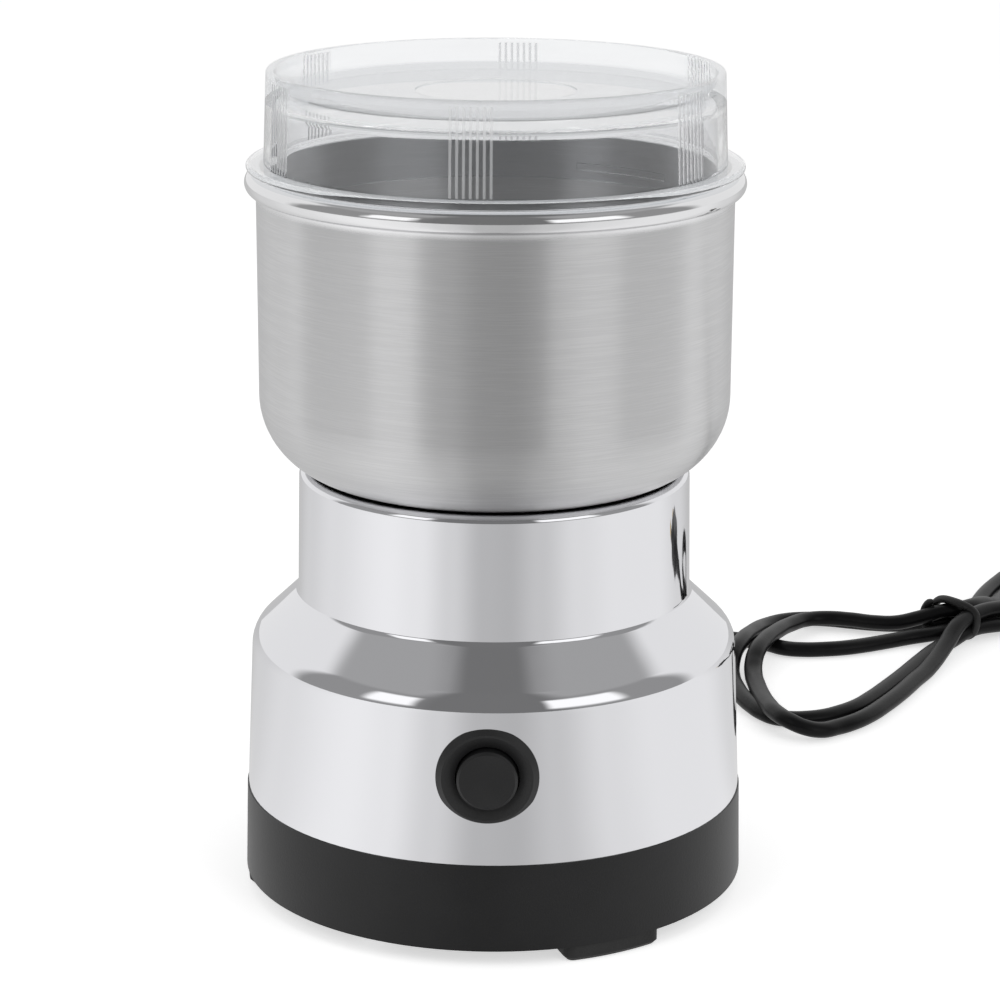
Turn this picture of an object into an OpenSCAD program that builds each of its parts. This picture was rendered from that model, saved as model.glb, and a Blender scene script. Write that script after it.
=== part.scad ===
// Electric spice grinder with a push button: clear lid, steel cup, bright shell, black base.
// Millimetres, +Z up, origin at the centre of the face that the feet rest on, button towards -Y.

/* [Base] */
// Diameter of the base at its lower edge
base_d = 100; // [96:1:120]
// Diameter of the base where it meets the shell
base_top_d = 99.2; // [95:0.2:118]
// Height of the base skirt
base_h = 17.15; // [16:0.05:24]
// Wall of the base skirt
base_wall = 2.4; // [1.8:0.1:3.2]
// Thickness of the base floor
floor_t = 2.4; // [2:0.1:3.2]
// Height of the rubber feet below the base
foot_h = 3.3; // [1.6:0.1:4]
// Width of one foot along the edge of the base
foot_w = 21.2; // [12:0.2:26]
// Depth of one foot towards the middle
foot_depth = 12; // [8:1:14]
// Number of cooling slots in the floor
vent_count = 14; // [8:1:18]

/* [Shell] */
// Diameter of the shell at its lower edge
body_low_d = 98.8; // [94:0.2:118]
// Diameter of the shell at the top of the straight body
body_top_d = 96.4; // [92:0.2:116]
// Height of the straight body
body_h = 28.9; // [26:0.1:40]
// Height of the sloping shoulder
shoulder_h = 11.4; // [9:0.1:16]
// Rounding where the body turns into the shoulder
shoulder_round = 6; // [3:0.5:8]
// Diameter of the neck at the shoulder
neck_low_d = 77.8; // [74:0.2:84]
// Diameter of the neck at the top
neck_top_d = 77; // [73:0.2:83]
// Height of the neck
neck_h = 24.7; // [23:0.1:34]
// Rounding of the neck's top edge
neck_round = 1.5; // [0.5:0.1:2]
// Hollow rounding where the neck rises from the shoulder
neck_fillet = 1.6; // [0.8:0.1:3]
// Wall of the shell
shell_wall = 2.2; // [1.6:0.1:2.6]
// Thickness of the deck that closes the neck
deck_t = 3; // [2.6:0.1:4]

/* [Cup] */
// Thickness of the seal between the shell and the cup
seal_h = 0.9; // [0.8:0.1:1.4]
// Diameter of the cup above its rounded bottom
cup_low_d = 92.2; // [86.2:0.5:110.2]
// Diameter of the cup under its rim
cup_top_d = 92.3; // [86.3:0.5:110.3]
// Height of the cup from its floor to the top of its rim
cup_h = 59.8; // [50:0.05:80]
// Rounding of the cup's bottom edge
cup_round = 16; // [12:0.2:18]
// Thickness of the cup's sheet steel
cup_t = 0.8; // [0.6:0.1:1.2]
// Radius of the rolled rim
rim_r = 2.15; // [1.4:0.05:2.6]

/* [Lid] */
// Gap around the lid's skirt inside the cup
lid_gap = 0.95; // [0.6:0.05:1.4]
// Depth of the skirt inside the cup, below the flange
skirt_h = 9.25; // [6:0.25:14]
// Height of the lid's wall above the flange
lid_h = 17.8; // [12:0.2:26]
// Thickness of the flange
flange_t = 1.45; // [1:0.05:2]
// How far the flange stands out past the wall
flange_w = 3.4; // [2.4:0.1:4]
// Thickness of the lid's walls
lid_wall = 1.8; // [1.4:0.1:2.4]
// How far the wall leans in from the flange to the top
lid_lean = 0.65; // [0:0.05:1.5]
// Depth of the sunk top panel below the rim
lid_sunk = 4.3; // [3:0.1:6]
// Thickness of the top panel
panel_t = 1.7; // [1.2:0.1:2.4]
// Hollow rounding under the panel, where it meets the wall
panel_fillet = 1.5; // [0.8:0.1:2.4]
// Radius of the round mark in the middle of the panel
mark_r = 15.5; // [10:0.5:20]
// Groups of ribs around the wall
rib_groups = 6; // [3:1:8]
// Ribs in one group
ribs_per_group = 7; // [3:1:9]

/* [Button] */
// Height of the button's axis above the shell's lower edge
button_up = 17.2; // [14:0.2:20]
// Diameter of the bezel
bezel_d = 19.5; // [18.5:0.5:22]
// How far the bezel stands out from the shell
bezel_out = 0.6; // [0.4:0.1:1.2]
// Diameter of the push button
button_d = 11.5; // [10:0.5:12]
// How far the push button stands out from the bezel
button_out = 1.4; // [0.6:0.1:2]
// Depth of the bezel's hollow around the button
bezel_dish = 0.9; // [0.3:0.1:1.4]
// Travel of the push button
button_travel = 2; // [1:0.1:2.4]
// Diameter of the switch's threaded barrel
barrel_d = 16; // [15.5:0.5:17]

/* [Motor] */
// Diameter of the motor shaft
shaft_d = 6; // [5:0.5:6]
// Width of the stator across its poles
stator_w = 54; // [50:1:56]
// Depth of the stator across its flanks
stator_depth = 44; // [42:1:45]
// Height of the stack of stator plates
stator_h = 20; // [16:1:20]
// Diameter of the armature core
core_d = 29.6; // [27:0.2:29.8]
// Diameter of the commutator
commutator_d = 18; // [16:0.5:19]
// Diameter of the cooling fan
fan_d = 54; // [44:1:56]

/* [Blade] */
// Length of the blade from tip to tip
blade_span = 66; // [50:1:76]
// Width of the blade
blade_w = 11; // [9:0.5:14]
// Thickness of the blade
blade_t = 1.5; // [1:0.1:2]
// Twist of each wing of the blade in degrees
blade_twist = 20; // [5:1:30]
// Height of the spacer that carries the blade
spacer_h = 4.5; // [3.5:0.1:8]

/* [Cord] */
// Diameter of the mains cord
cord_d = 4.2; // [3.6:0.1:5]
// Length of the strain relief outside the base
relief_len = 25.9; // [20:0.1:27]

/* [Hidden] */
fn_round = 96;
fn_small = 32;
eps = 0.01;

// Clearances
seat = 0.05;
running = 0.04;
air_gap = 0.6;
free_gap = 0.3;
cup_gap = 0.6;

// Depth of the seat in the deck that the seal lies in
seat_depth = 1.75;

// Levels, from the feet up
z_floor = foot_h;
z_floor_top = z_floor + floor_t;
z_ring_top = z_floor + base_h;
z_shoulder = z_ring_top + body_h;
z_neck = z_shoulder + shoulder_h;
z_deck = z_neck + neck_h;
z_deck_under = z_deck - deck_t;
z_seat = z_deck - seat_depth;
z_cup = z_seat + seal_h;
z_cup_floor = z_cup + cup_t;
z_rim = z_cup + cup_h;
z_flange = z_rim + free_gap;
z_flange_top = z_flange + flange_t;
z_lid_top = z_flange_top + lid_h;
z_panel = z_lid_top - lid_sunk;

// Shell radii
body_low_r = body_low_d / 2;
body_top_r = body_top_d / 2;
neck_low_r = neck_low_d / 2;
neck_top_r = neck_top_d / 2;
base_r = base_d / 2;
base_top_r = base_top_d / 2;
function base_r_at(z) = base_r - (base_r - base_top_r) * (z - z_floor) / base_h;
// The shoulder's slope touches its rounding: centre and angle of the touching point
round_c = [body_top_r - shoulder_round, z_shoulder];
to_neck = [neck_low_r - round_c[0], z_neck - round_c[1]];
slope_angle = atan2(to_neck[1], to_neck[0]) - acos(shoulder_round / norm(to_neck));
slope_normal = [cos(slope_angle), sin(slope_angle)];
// The hollow rounding at the neck's foot touches the slope and the neck
neck_foot = [neck_low_r, z_neck];
neck_rise = [neck_top_r, z_deck - neck_round] - neck_foot;
neck_normal = [neck_rise[1], -neck_rise[0]] / norm(neck_rise);
fillet_c = neck_foot
    + neck_fillet * (slope_normal + neck_normal) / (1 + slope_normal * neck_normal);

// Screws that hold the base: angle from +X and distance from the middle
base_screw_angles = [0, 120, 240];
base_screw_r = 3.5 / 2;
base_screw_at = body_low_r - shell_wall - 4.8;
post_r = 3.5;
head_r = 3.3;
head_h = 2.4;
post_gap = 2.7;
z_post = z_floor_top + post_gap;

// Feet: angles from +X
foot_angles = [-60, 60, 180];
foot_outer_r = base_r - 0.4;
foot_turn = foot_w / foot_outer_r * 180 / PI;
pad_round = 0.8;
pad_corner = 2;
peg_r = 2;
peg_h = 3;

// Cup, and the seat for its seal: so wide that the cup's rounding just clears the deck
cup_low_r = cup_low_d / 2;
cup_top_r = cup_top_d / 2;
cup_inner_r = cup_top_r - cup_t;
cup_flat_r = cup_low_r - cup_round;
cup_above_deck = cup_round - (z_deck + cup_gap - z_cup);
seat_r = cup_flat_r + sqrt(cup_round * cup_round - cup_above_deck * cup_above_deck);
z_rim_mid = z_rim - rim_r;
cup_hole_r = 8;
cup_screw_at = 22;
cup_screw_angles = [45, 165, 285];
cup_screw_r = 3.5 / 2;

// Lid
skirt_r = cup_inner_r - lid_gap;
lid_low_r = skirt_r + 0.2;
lid_top_r = lid_low_r - lid_lean;
flange_r = lid_low_r + flange_w;
cove_r = 3.2;
rib_first_angle = -94.5;
rib_step = 1.6;
rib_turn = 0.65;
rib_out = 0.22;
grip_angles = [54.5, 174.5, 294.5];
grip_turn = 29;

// Switch, measured along -Y from the middle of the object
button_z = z_ring_top + button_up;
shell_r_at_button = body_low_r - (body_low_r - body_top_r) * button_up / body_h;
bezel_r = bezel_d / 2;
barrel_r = barrel_d / 2;
button_r = button_d / 2;
y_bezel = shell_r_at_button + bezel_out;
y_button = y_bezel + button_out;
bezel_chamfer = 1.1;
button_round = 0.5;
button_gap = 0.35;
collar_r = 6.8;
y_stop = y_bezel - 4.4;
collar_t = 1.4;
y_collar = y_stop - free_gap;
y_barrel_end = y_bezel - 14.4;
stem_r = 1.6;
bridge_t = 0.6;
contact_t = 0.7;
contact_gap = 0.2;
cavity_r = 5.6;
cavity_len = free_gap + bridge_t + button_travel + contact_gap + contact_t + 0.6;
block_lid_t = 1;
block_back_t = 1.6;
y_block_end = y_barrel_end - block_lid_t - cavity_len - block_back_t;
y_bridge = y_barrel_end - block_lid_t - free_gap;
y_contact = y_bridge - bridge_t - button_travel - contact_gap;
spring_wire = 0.8;
spring_r = 3.9;
spring_turns = 5;
nut_w = barrel_d + 3.5;
nut_t = 2.4;
terminal_w = 4.8;
terminal_t = 0.8;
terminal_x = 3;
terminal_len = 7;
y_terminal_end = y_block_end - terminal_len;

// Motor: its long side is turned so that the switch has room in front
motor_turn = -45;
shaft_r = shaft_d / 2;
bush_r = 5;
bracket_r = 27;
bracket_t = 3;
z_bracket = z_deck_under - bracket_t;
pillar_h = 9.5;
z_stator_top = z_bracket - pillar_h;
z_stator = z_stator_top - stator_h;
coil_rise = 6;
bore_r = core_d / 2 + air_gap;
motor_screw_at = stator_w / 2 - 3;
motor_screw_r = 1.5;
pillar_in = stator_w / 2 - 5.7;
pillar_out = stator_w / 2 - 0.2;
pillar_w = 12;
z_lower_top = button_z - barrel_r - 0.7;
lower_pillar_h = z_stator - z_lower_top;
z_lower = z_lower_top - bracket_t;
lower_r = 30;
boss_r = 8;
lower_boss_h = 5;
z_lower_boss = z_lower - lower_boss_h;
upper_boss_r = 9.6;
z_upper_boss = z_bracket - 3;
z_upper_boss_top = z_cup - 0.5;
core_r = core_d / 2;
commutator_r = commutator_d / 2;
commutator_h = 10;
z_commutator = z_lower_top + 2.5;
z_brush = z_commutator + commutator_h / 2;
winding_r = core_r - 1.8;
z_fan_top = z_lower_boss - 0.5;
fan_h = 7;
z_fan = z_fan_top - fan_h;
fan_r = fan_d / 2;
holder_in = commutator_r + 2;
holder_out = 28;
brush_w = 5;
brush_h = 6;
brush_len = 9.5;
brush_in = commutator_r + 0.1;

// Blade and what carries it
z_shaft = z_fan - 0.5;
z_spacer = z_cup_floor + 1.3;
z_blade = z_spacer + spacer_h;
z_nut = z_blade + blade_t;
nut_h = 4;
z_shaft_top = z_nut + nut_h - 0.2;
hub_r = 7;

// Cord: where it leaves the base and how high its middle lies on the table
cord_r = cord_d / 2;
cord_sides = 8;
lay = cord_r;
cord_z = 12;
relief_r = 5;
relief_neck_r = 4.2;
relief_end_r = cord_r + 1;
relief_flange_r = 5.9;
y_relief = base_r + 0.1;
y_relief_in = sqrt(pow(base_r_at(cord_z + relief_flange_r) - base_wall, 2)
    - pow(relief_flange_r, 2)) - 0.1;
y_cord = y_relief + relief_len;
clamp_y = 39;
clamp_w = 7;
clamp_x = 11;
clamp_t = 3;
y_inner_cord = 33;
wire_r = 0.8;

// Where the plug's strain relief begins, and how high the plug's middle lies
plug_at = [172, 151];
plug_z = 6.8;

// Lead from the strain relief to the tied hank, along the table
lead_route = [
    [0, y_cord, cord_z], [0, y_cord + 8, cord_z - 1], [1, y_cord + 16, 7.5],
    [3, y_cord + 25, 3.6], [6, y_cord + 35, lay + 0.1], [12, y_cord + 49, lay],
    [21, 137, lay], [31, 145.5, lay], [42, 149.5, lay], [50.2, 148.8, lay]
];
// Short tail from the hank to the plug's strain relief
tail_route = [
    [139.5, 163.2, lay], [146, 160.5, lay], [154, 156, lay + 0.5], [162, 152.5, 4.4],
    [168, 151.1, 6.2], [172, 151, plug_z]
];
// Tie around the hank
tie_at = [114, 158];
tie_turn = 40;
tie_len = 5;
tie_t = 1.2;
bundle_w = 13.4;
bundle_h = 2 * cord_d - 0.4;
hank_h = 2 * cord_d + 0.2;
left_lobe = [[70, 146, 20.5], [70, 101, 20.5]];
right_lobe = [[149, 196, 26]];

// Plug
plug_relief_len = 20;
plug_len = 35;
plug_w = 26;
plug_h = 13.6;
pin_pitch = 18.6;
pin_r = 2;
pin_core_r = 1.2;
sleeve_r = 1.7;
sleeve_len = 10;
pin_len = 19;
x_plug = plug_at[0] + plug_relief_len;
x_pins = x_plug + plug_len;

// ---------- shared shapes ----------

// A straight tube or ring
module ring(outer, inner, z, h) {
    translate([0, 0, z]) difference() {
        cylinder(r = outer, h = h, $fn = fn_round);
        translate([0, 0, -eps]) cylinder(r = inner, h = h + 2 * eps, $fn = fn_round);
    }
}

// A cylinder along -Y whose near end is y0 and far end y1, both measured towards -Y
module along_front(r, y0, y1, fn = fn_round) {
    translate([0, -y1, button_z]) rotate([-90, 0, 0]) cylinder(r = r, h = y1 - y0, $fn = fn);
}

// A screw that points down: its head stands on z and its shank reaches depth below
module screw_down(shank_r, head, head_height, depth) {
    cylinder(r = head, h = head_height, $fn = fn_small);
    translate([0, 0, -depth]) cylinder(r = shank_r, h = depth + eps, $fn = fn_small);
}

module turned(angles, r) {
    for (a = angles) rotate([0, 0, a]) translate([r, 0, 0]) children();
}

module in_motor() {
    rotate([0, 0, motor_turn]) children();
}

// A smooth curve through points: Catmull-Rom, steps pieces to a span
function at(p, i) = p[max(0, min(len(p) - 1, i))];
function blend(a, b, c, d, t) =
    0.5 * (2 * b + (c - a) * t + (2 * a - 5 * b + 4 * c - d) * t * t
    + (3 * b - a - 3 * c + d) * t * t * t);
function curve(p, steps) = concat(
    [for (i = [0 : len(p) - 2], k = [0 : steps - 1])
        blend(at(p, i - 1), p[i], p[i + 1], at(p, i + 2), k / steps)],
    [p[len(p) - 1]]);

// One ring of points across a path; axis is a direction that the path never runs along
function unit(v) = v / norm(v);
function heading(p, i) = unit(at(p, i + 1) - at(p, i - 1));
function ring_points(p, i, r, sides, axis) =
    let (t = heading(p, i), s = unit(cross(t, axis)), u = cross(s, t))
    [for (k = [0 : sides - 1]) p[i] + r * (s * cos(360 * (k + 0.5) / sides)
        + u * sin(360 * (k + 0.5) / sides))];

// A tube swept along points, closed at both ends
module swept_tube(p, r, sides, axis = [0, 0, 1]) {
    n = len(p);
    points = [for (i = [0 : n - 1]) each ring_points(p, i, r, sides, axis)];
    walls = [for (i = [0 : n - 2], k = [0 : sides - 1], half = [0, 1])
        let (a = i * sides + k, b = i * sides + (k + 1) % sides)
        half == 0 ? [a, b, b + sides] : [a, b + sides, a + sides]];
    start = [for (k = [0 : sides - 1]) sides - 1 - k];
    finish = [for (k = [0 : sides - 1]) (n - 1) * sides + k];
    polyhedron(points = points, faces = concat([start], walls, [finish]), convexity = 6);
}

// ---------- base and feet ----------

module base_outline() {
    polygon([[0, z_floor], [base_r, z_floor], [base_top_r, z_ring_top], [0, z_ring_top]]);
}

// The black base: skirt, floor with cooling slots, spigot for the shell and screw bosses
module base() {
    spigot_r = body_low_r - shell_wall - 0.2;
    spigot_h = 4;
    spigot_t = 1.8;
    boss_h = z_post - free_gap - z_floor_top;
    color("#1d1d1f") difference() {
        union() {
            difference() {
                rotate_extrude($fn = fn_round) base_outline();
                translate([0, 0, z_floor_top])
                    cylinder(r1 = base_r_at(z_floor_top) - base_wall,
                        r2 = base_r_at(z_floor_top + base_h) - base_wall, h = base_h,
                        $fn = fn_round);
            }
            ring(spigot_r, spigot_r - spigot_t, z_ring_top - 2, spigot_h + 2);
            ring(base_top_r - base_wall / 2, spigot_r - spigot_t, z_ring_top - 2, 2);
            turned(base_screw_angles, base_screw_at)
                translate([0, 0, z_floor_top - eps])
                cylinder(r = post_r + 1.1, h = boss_h + eps, $fn = fn_small);
            translate([-clamp_x, clamp_y - clamp_w / 2, z_floor_top - eps])
                cube([2 * clamp_x, clamp_w, cord_z - cord_r - 0.1 - z_floor_top + eps]);
        }
        turned(base_screw_angles, base_screw_at) {
            translate([0, 0, z_floor - eps])
                cylinder(r = head_r + 0.2, h = head_h + 0.4, $fn = fn_small);
            translate([0, 0, z_floor]) cylinder(r = base_screw_r + 0.15, h = 8, $fn = fn_small);
            translate([0, 0, z_post - free_gap])
                cylinder(r = post_r + 0.6, h = base_h + 10, $fn = fn_small);
        }
        for (a = [0 : 360 / vent_count : 359])
            rotate([0, 0, a]) translate([14, -1.4, z_floor - 1]) cube([15, 2.8, floor_t + 2]);
        turned(foot_angles, foot_outer_r - foot_depth / 2 - 1)
            translate([0, 0, z_floor - 1]) cylinder(r = peg_r + seat, h = 5, $fn = fn_small);
        translate([0, y_relief_in - 1, cord_z]) rotate([-90, 0, 0])
            cylinder(r = relief_neck_r + seat, h = y_relief - y_relief_in + 4,
                $fn = fn_small);
        for (x = [-7.5, 7.5])
            translate([x, clamp_y, z_floor_top]) cylinder(r = 1.45, h = 12, $fn = fn_small);
    }
}

// A rubber foot: a pad that follows the base's edge, with a peg pressed into the floor
module foot(angle) {
    inner = foot_outer_r - foot_depth;
    turn = foot_turn - 2 * pad_corner / foot_outer_r * 180 / PI;
    corner = pad_corner - pad_round;
    color("#161617") rotate([0, 0, angle]) {
        rotate([0, 0, -turn / 2]) rotate_extrude(angle = turn, $fn = fn_round)
            polygon([[inner, z_floor], [inner, pad_round], [inner + pad_round, 0],
                [foot_outer_r - pad_round, 0], [foot_outer_r, pad_round],
                [foot_outer_r, z_floor]]);
        for (s = [-1, 1]) rotate([0, 0, s * turn / 2]) {
            for (x = [inner + pad_corner, foot_outer_r - pad_corner]) translate([x, 0, 0]) {
                cylinder(r1 = corner, r2 = pad_corner, h = pad_round, $fn = fn_small);
                translate([0, 0, pad_round])
                    cylinder(r = pad_corner, h = z_floor - pad_round, $fn = fn_small);
            }
            translate([inner + pad_corner, 0, 0]) rotate([90, 0, 90])
                linear_extrude(foot_depth - 2 * pad_corner) polygon([[-corner, 0],
                    [corner, 0], [pad_corner, pad_round], [pad_corner, z_floor],
                    [-pad_corner, z_floor], [-pad_corner, pad_round]]);
        }
        translate([foot_outer_r - foot_depth / 2 - 1, 0, z_floor - eps])
            cylinder(r = peg_r, h = peg_h, $fn = fn_small);
    }
}
module foot_front() { foot(foot_angles[0]); }
module foot_back() { foot(foot_angles[1]); }
module foot_left() { foot(foot_angles[2]); }

// Three screws, driven from below into the posts of the shell
module base_screws() {
    color("#9a9da1") turned(base_screw_angles, base_screw_at)
        translate([0, 0, z_floor + head_h + 0.3]) mirror([0, 0, 1]) difference() {
            screw_down(base_screw_r, head_r, head_h, 14);
            translate([-2.2, -0.4, head_h - 1]) cube([4.4, 0.8, 2]);
            translate([-0.4, -2.2, head_h - 1]) cube([0.8, 4.4, 2]);
        }
}

// ---------- shell ----------

module shell_outline(inset) {
    slope_end = round_c + (shoulder_round - inset) * slope_normal;
    // Where the inset slope meets the inset neck
    foot_r = neck_low_r - inset;
    z_foot = slope_end[1] + (slope_end[0] - foot_r) * slope_normal[0] / slope_normal[1];
    top = z_deck - (inset > 0 ? deck_t : 0);
    edge = inset > 0 ? 0.3 : neck_round;
    union() {
        polygon([[0, z_ring_top - (inset > 0 ? 1 : 0)],
            [body_low_r - inset, z_ring_top - (inset > 0 ? 1 : 0)],
            [body_top_r - inset, z_shoulder], slope_end, [foot_r, z_foot],
            [neck_top_r - inset, top - edge], [neck_top_r - inset - edge, top], [0, top]]);
        translate(round_c) circle(r = shoulder_round - inset, $fn = fn_round);
        translate([neck_top_r - inset - edge, top - edge]) circle(r = edge, $fn = fn_round);
    }
}

// The outside of the shell, with the hollow rounding at the neck's foot
module shell_outside() {
    shell_outline(0);
    difference() {
        polygon([neck_foot - [1, 1], fillet_c - (neck_fillet + eps) * slope_normal, fillet_c,
            fillet_c - (neck_fillet + eps) * neck_normal]);
        translate(fillet_c) circle(r = neck_fillet, $fn = fn_round);
    }
}

// The bright shell: body, shoulder, neck and deck in one piece, with three screw posts
module shell() {
    color("#d9dadd") difference() {
        union() {
            difference() {
                rotate_extrude($fn = fn_round) shell_outside();
                rotate_extrude($fn = fn_round) shell_outline(shell_wall);
            }
            intersection() {
                turned(base_screw_angles, base_screw_at) translate([0, 0, z_post]) {
                    cylinder(r = post_r, h = z_neck - z_post, $fn = fn_small);
                    translate([0, -1, z_ring_top + 5 - z_post])
                        cube([8, 2, z_neck - z_ring_top - 5]);
                }
                union() {
                    rotate_extrude($fn = fn_round) shell_outline(shell_wall / 2);
                    translate([0, 0, z_post])
                        cylinder(r = body_low_r - shell_wall - 0.5, h = base_h, $fn = fn_round);
                }
            }
        }
        turned(base_screw_angles, base_screw_at)
            translate([0, 0, z_post - 1]) cylinder(r = base_screw_r + seat, h = 14,
                $fn = fn_small);
        translate([0, 0, z_deck_under - 1])
            cylinder(r = upper_boss_r + 0.4, h = deck_t + 2, $fn = fn_round);
        translate([0, 0, z_seat]) cylinder(r = seat_r, h = seat_depth + 1, $fn = fn_round);
        turned(cup_screw_angles, cup_screw_at)
            translate([0, 0, z_deck_under - 1])
            cylinder(r = cup_screw_r + 0.15, h = deck_t + 2, $fn = fn_small);
        along_front(barrel_r + 0.2, body_top_r - 12, body_low_r + 5);
    }
}

// ---------- cup ----------

module cup_outline(inset, top) {
    polygon([[0, z_cup + inset], [cup_flat_r, z_cup + inset],
        [cup_low_r - inset, z_cup + cup_round], [cup_top_r - inset, top], [0, top]]);
    translate([cup_flat_r, z_cup + cup_round]) circle(r = cup_round - inset, $fn = fn_round);
}

// The steel cup: a deep drawn bowl whose edge is rolled outwards
module cup() {
    color("#b9babc") difference() {
        rotate_extrude($fn = fn_round) difference() {
            union() {
                cup_outline(0, z_rim_mid);
                translate([cup_top_r + 0.05, z_rim_mid]) circle(r = rim_r, $fn = fn_small * 2);
            }
            cup_outline(cup_t, z_rim + 1);
        }
        translate([0, 0, z_cup - 1]) cylinder(r = cup_hole_r, h = cup_t + 2, $fn = fn_round);
        turned(cup_screw_angles, cup_screw_at)
            translate([0, 0, z_cup - 1]) cylinder(r = cup_screw_r + 0.15, h = cup_t + 2,
                $fn = fn_small);
    }
}

// The rubber disc that the cup is clamped on
module cup_seal() {
    lip_r = seat_r - seat;
    color("#141414") difference() {
        rotate_extrude($fn = fn_round)
            polygon([[upper_boss_r + 2.4, z_seat], [lip_r, z_seat], [lip_r, z_cup - 0.4],
                [lip_r - 0.8, z_cup], [upper_boss_r + 2.4, z_cup]]);
        turned(cup_screw_angles, cup_screw_at)
            translate([0, 0, z_seat - 1]) cylinder(r = cup_screw_r + 0.15, h = seal_h + 2,
                $fn = fn_small);
    }
}

// Three screws through the cup, seal and deck into the upper motor bracket
module cup_screws() {
    color("#c9cbce") turned(cup_screw_angles, cup_screw_at)
        translate([0, 0, z_cup_floor]) difference() {
            screw_down(cup_screw_r, head_r, 1.8, z_cup_floor - z_bracket + 0.5);
            translate([-2.2, -0.4, 0.9]) cube([4.4, 0.8, 2]);
            translate([-0.4, -2.2, 0.9]) cube([0.8, 4.4, 2]);
        }
}

// The rubber collar that keeps powder out of the upper bush
module shaft_seal() {
    color("#202022") difference() {
        union() {
            translate([0, 0, z_upper_boss_top + 0.1])
                cylinder(r = cup_hole_r - seat, h = z_cup_floor - z_upper_boss_top,
                    $fn = fn_round);
            translate([0, 0, z_cup_floor]) cylinder(r = cup_hole_r + 2, h = 1, $fn = fn_round);
        }
        translate([0, 0, z_upper_boss_top - 1]) cylinder(r = shaft_r + 0.08, h = 6,
            $fn = fn_round);
    }
}

// ---------- lid ----------

function lid_r_at(z) = lid_low_r - lid_lean * (z - z_flange_top) / lid_h;

module lid_outline() {
    rim_round = lid_wall / 2;
    panel_edge = lid_r_at(z_panel) - lid_wall;
    union() {
        polygon([[skirt_r - lid_wall, z_flange - skirt_h], [skirt_r, z_flange - skirt_h],
            [skirt_r, z_flange + eps], [skirt_r - lid_wall, z_flange + eps]]);
        polygon([[skirt_r - lid_wall, z_flange], [flange_r - flange_t / 2, z_flange],
            [flange_r - flange_t / 2, z_flange_top], [lid_low_r, z_flange_top],
            [lid_top_r, z_lid_top - rim_round], [lid_top_r - lid_wall, z_lid_top - rim_round],
            [lid_low_r - lid_wall, z_flange_top]]);
        translate([flange_r - flange_t / 2, z_flange + flange_t / 2])
            circle(r = flange_t / 2, $fn = fn_small);
        translate([lid_top_r - rim_round, z_lid_top - rim_round])
            circle(r = rim_round, $fn = fn_small);
        polygon([[0, z_panel - panel_t], [panel_edge + 0.5, z_panel - panel_t],
            [panel_edge + 0.5, z_panel], [0, z_panel]]);
        difference() {
            translate([panel_edge - cove_r, z_panel - eps]) square([cove_r + 0.5, cove_r]);
            translate([panel_edge - cove_r, z_panel + cove_r])
                circle(r = cove_r, $fn = fn_round);
        }
        difference() {
            translate([panel_edge - panel_fillet, z_panel - panel_t - panel_fillet])
                square([panel_fillet + 0.5, panel_fillet + eps]);
            translate([panel_edge - panel_fillet, z_panel - panel_t - panel_fillet])
                circle(r = panel_fillet, $fn = fn_round);
        }
    }
}

module rib(a) {
    low = z_flange_top - eps;
    high = z_lid_top - lid_wall / 2;
    rotate([0, 0, a]) rotate_extrude(angle = rib_turn, $fn = fn_round)
        polygon([[lid_r_at(low) - 0.4, low], [lid_r_at(low) + rib_out, low],
            [lid_r_at(high) + rib_out, high - 0.3], [lid_r_at(high) - 0.4, high]]);
}

// The clear lid: a sunk panel in a standing wall, a flange for the rim and a skirt in the cup
module lid() {
    first_rib = -(ribs_per_group - 1) / 2 * rib_step - rib_turn / 2;
    z_grip = z_flange - skirt_h + 2.5;
    color([0.86, 0.9, 0.94, 0.35]) difference() {
        union() {
            rotate_extrude($fn = fn_round) lid_outline();
            for (g = [0 : rib_groups - 1], k = [0 : ribs_per_group - 1])
                rib(rib_first_angle + g * 360 / rib_groups + first_rib + k * rib_step);
            for (a = grip_angles) rotate([0, 0, a - grip_turn / 2])
                rotate_extrude(angle = grip_turn, $fn = fn_round)
                polygon([[skirt_r - 0.4, z_grip - 1], [skirt_r + 0.35, z_grip - 0.6],
                    [skirt_r + 0.35, z_grip + 0.6], [skirt_r - 0.4, z_grip + 1]]);
        }
        translate([0, 0, z_panel - 0.25]) cylinder(r = mark_r, h = 2, $fn = fn_round);
    }
}

// ---------- push-button switch ----------

// The bezel with its barrel, pushed through the shell from outside
module switch_bezel() {
    color("#1b1b1d") difference() {
        union() {
            intersection() {
                union() {
                    along_front(bezel_r, y_bezel - 4, y_bezel - bezel_chamfer);
                    translate([0, -y_bezel, button_z]) rotate([-90, 0, 0])
                        cylinder(r1 = bezel_r - bezel_chamfer, r2 = bezel_r,
                            h = bezel_chamfer + eps, $fn = fn_round);
                }
                difference() {
                    translate([-20, -y_bezel - 5, button_z - 20]) cube([40, 30, 40]);
                    rotate_extrude($fn = fn_round) union() {
                        translate([seat, 0]) shell_outline(0);
                        square([20, z_deck]);
                    }
                }
            }
            along_front(barrel_r, y_barrel_end, y_bezel - 0.1);
        }
        along_front(button_r + button_gap, y_stop - 1, y_bezel + 1);
        translate([0, -y_bezel - eps, button_z]) rotate([-90, 0, 0])
            cylinder(r1 = bezel_r - bezel_chamfer - 0.4, r2 = button_r + button_gap,
                h = bezel_dish, $fn = fn_round);
        along_front(collar_r + free_gap, y_barrel_end - 1, y_stop);
    }
}

// The flat nut that draws the bezel against the shell from inside
module switch_nut() {
    inner_face = sqrt(pow(shell_r_at_button - shell_wall, 2) - pow(nut_w / 2 + 1, 2)) - 0.35;
    color("#2a2a2c") difference() {
        along_front(nut_w / 2 / cos(30), inner_face - nut_t, inner_face, 6);
        along_front(barrel_r + seat, inner_face - nut_t - 1, inner_face + 1);
    }
}

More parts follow.
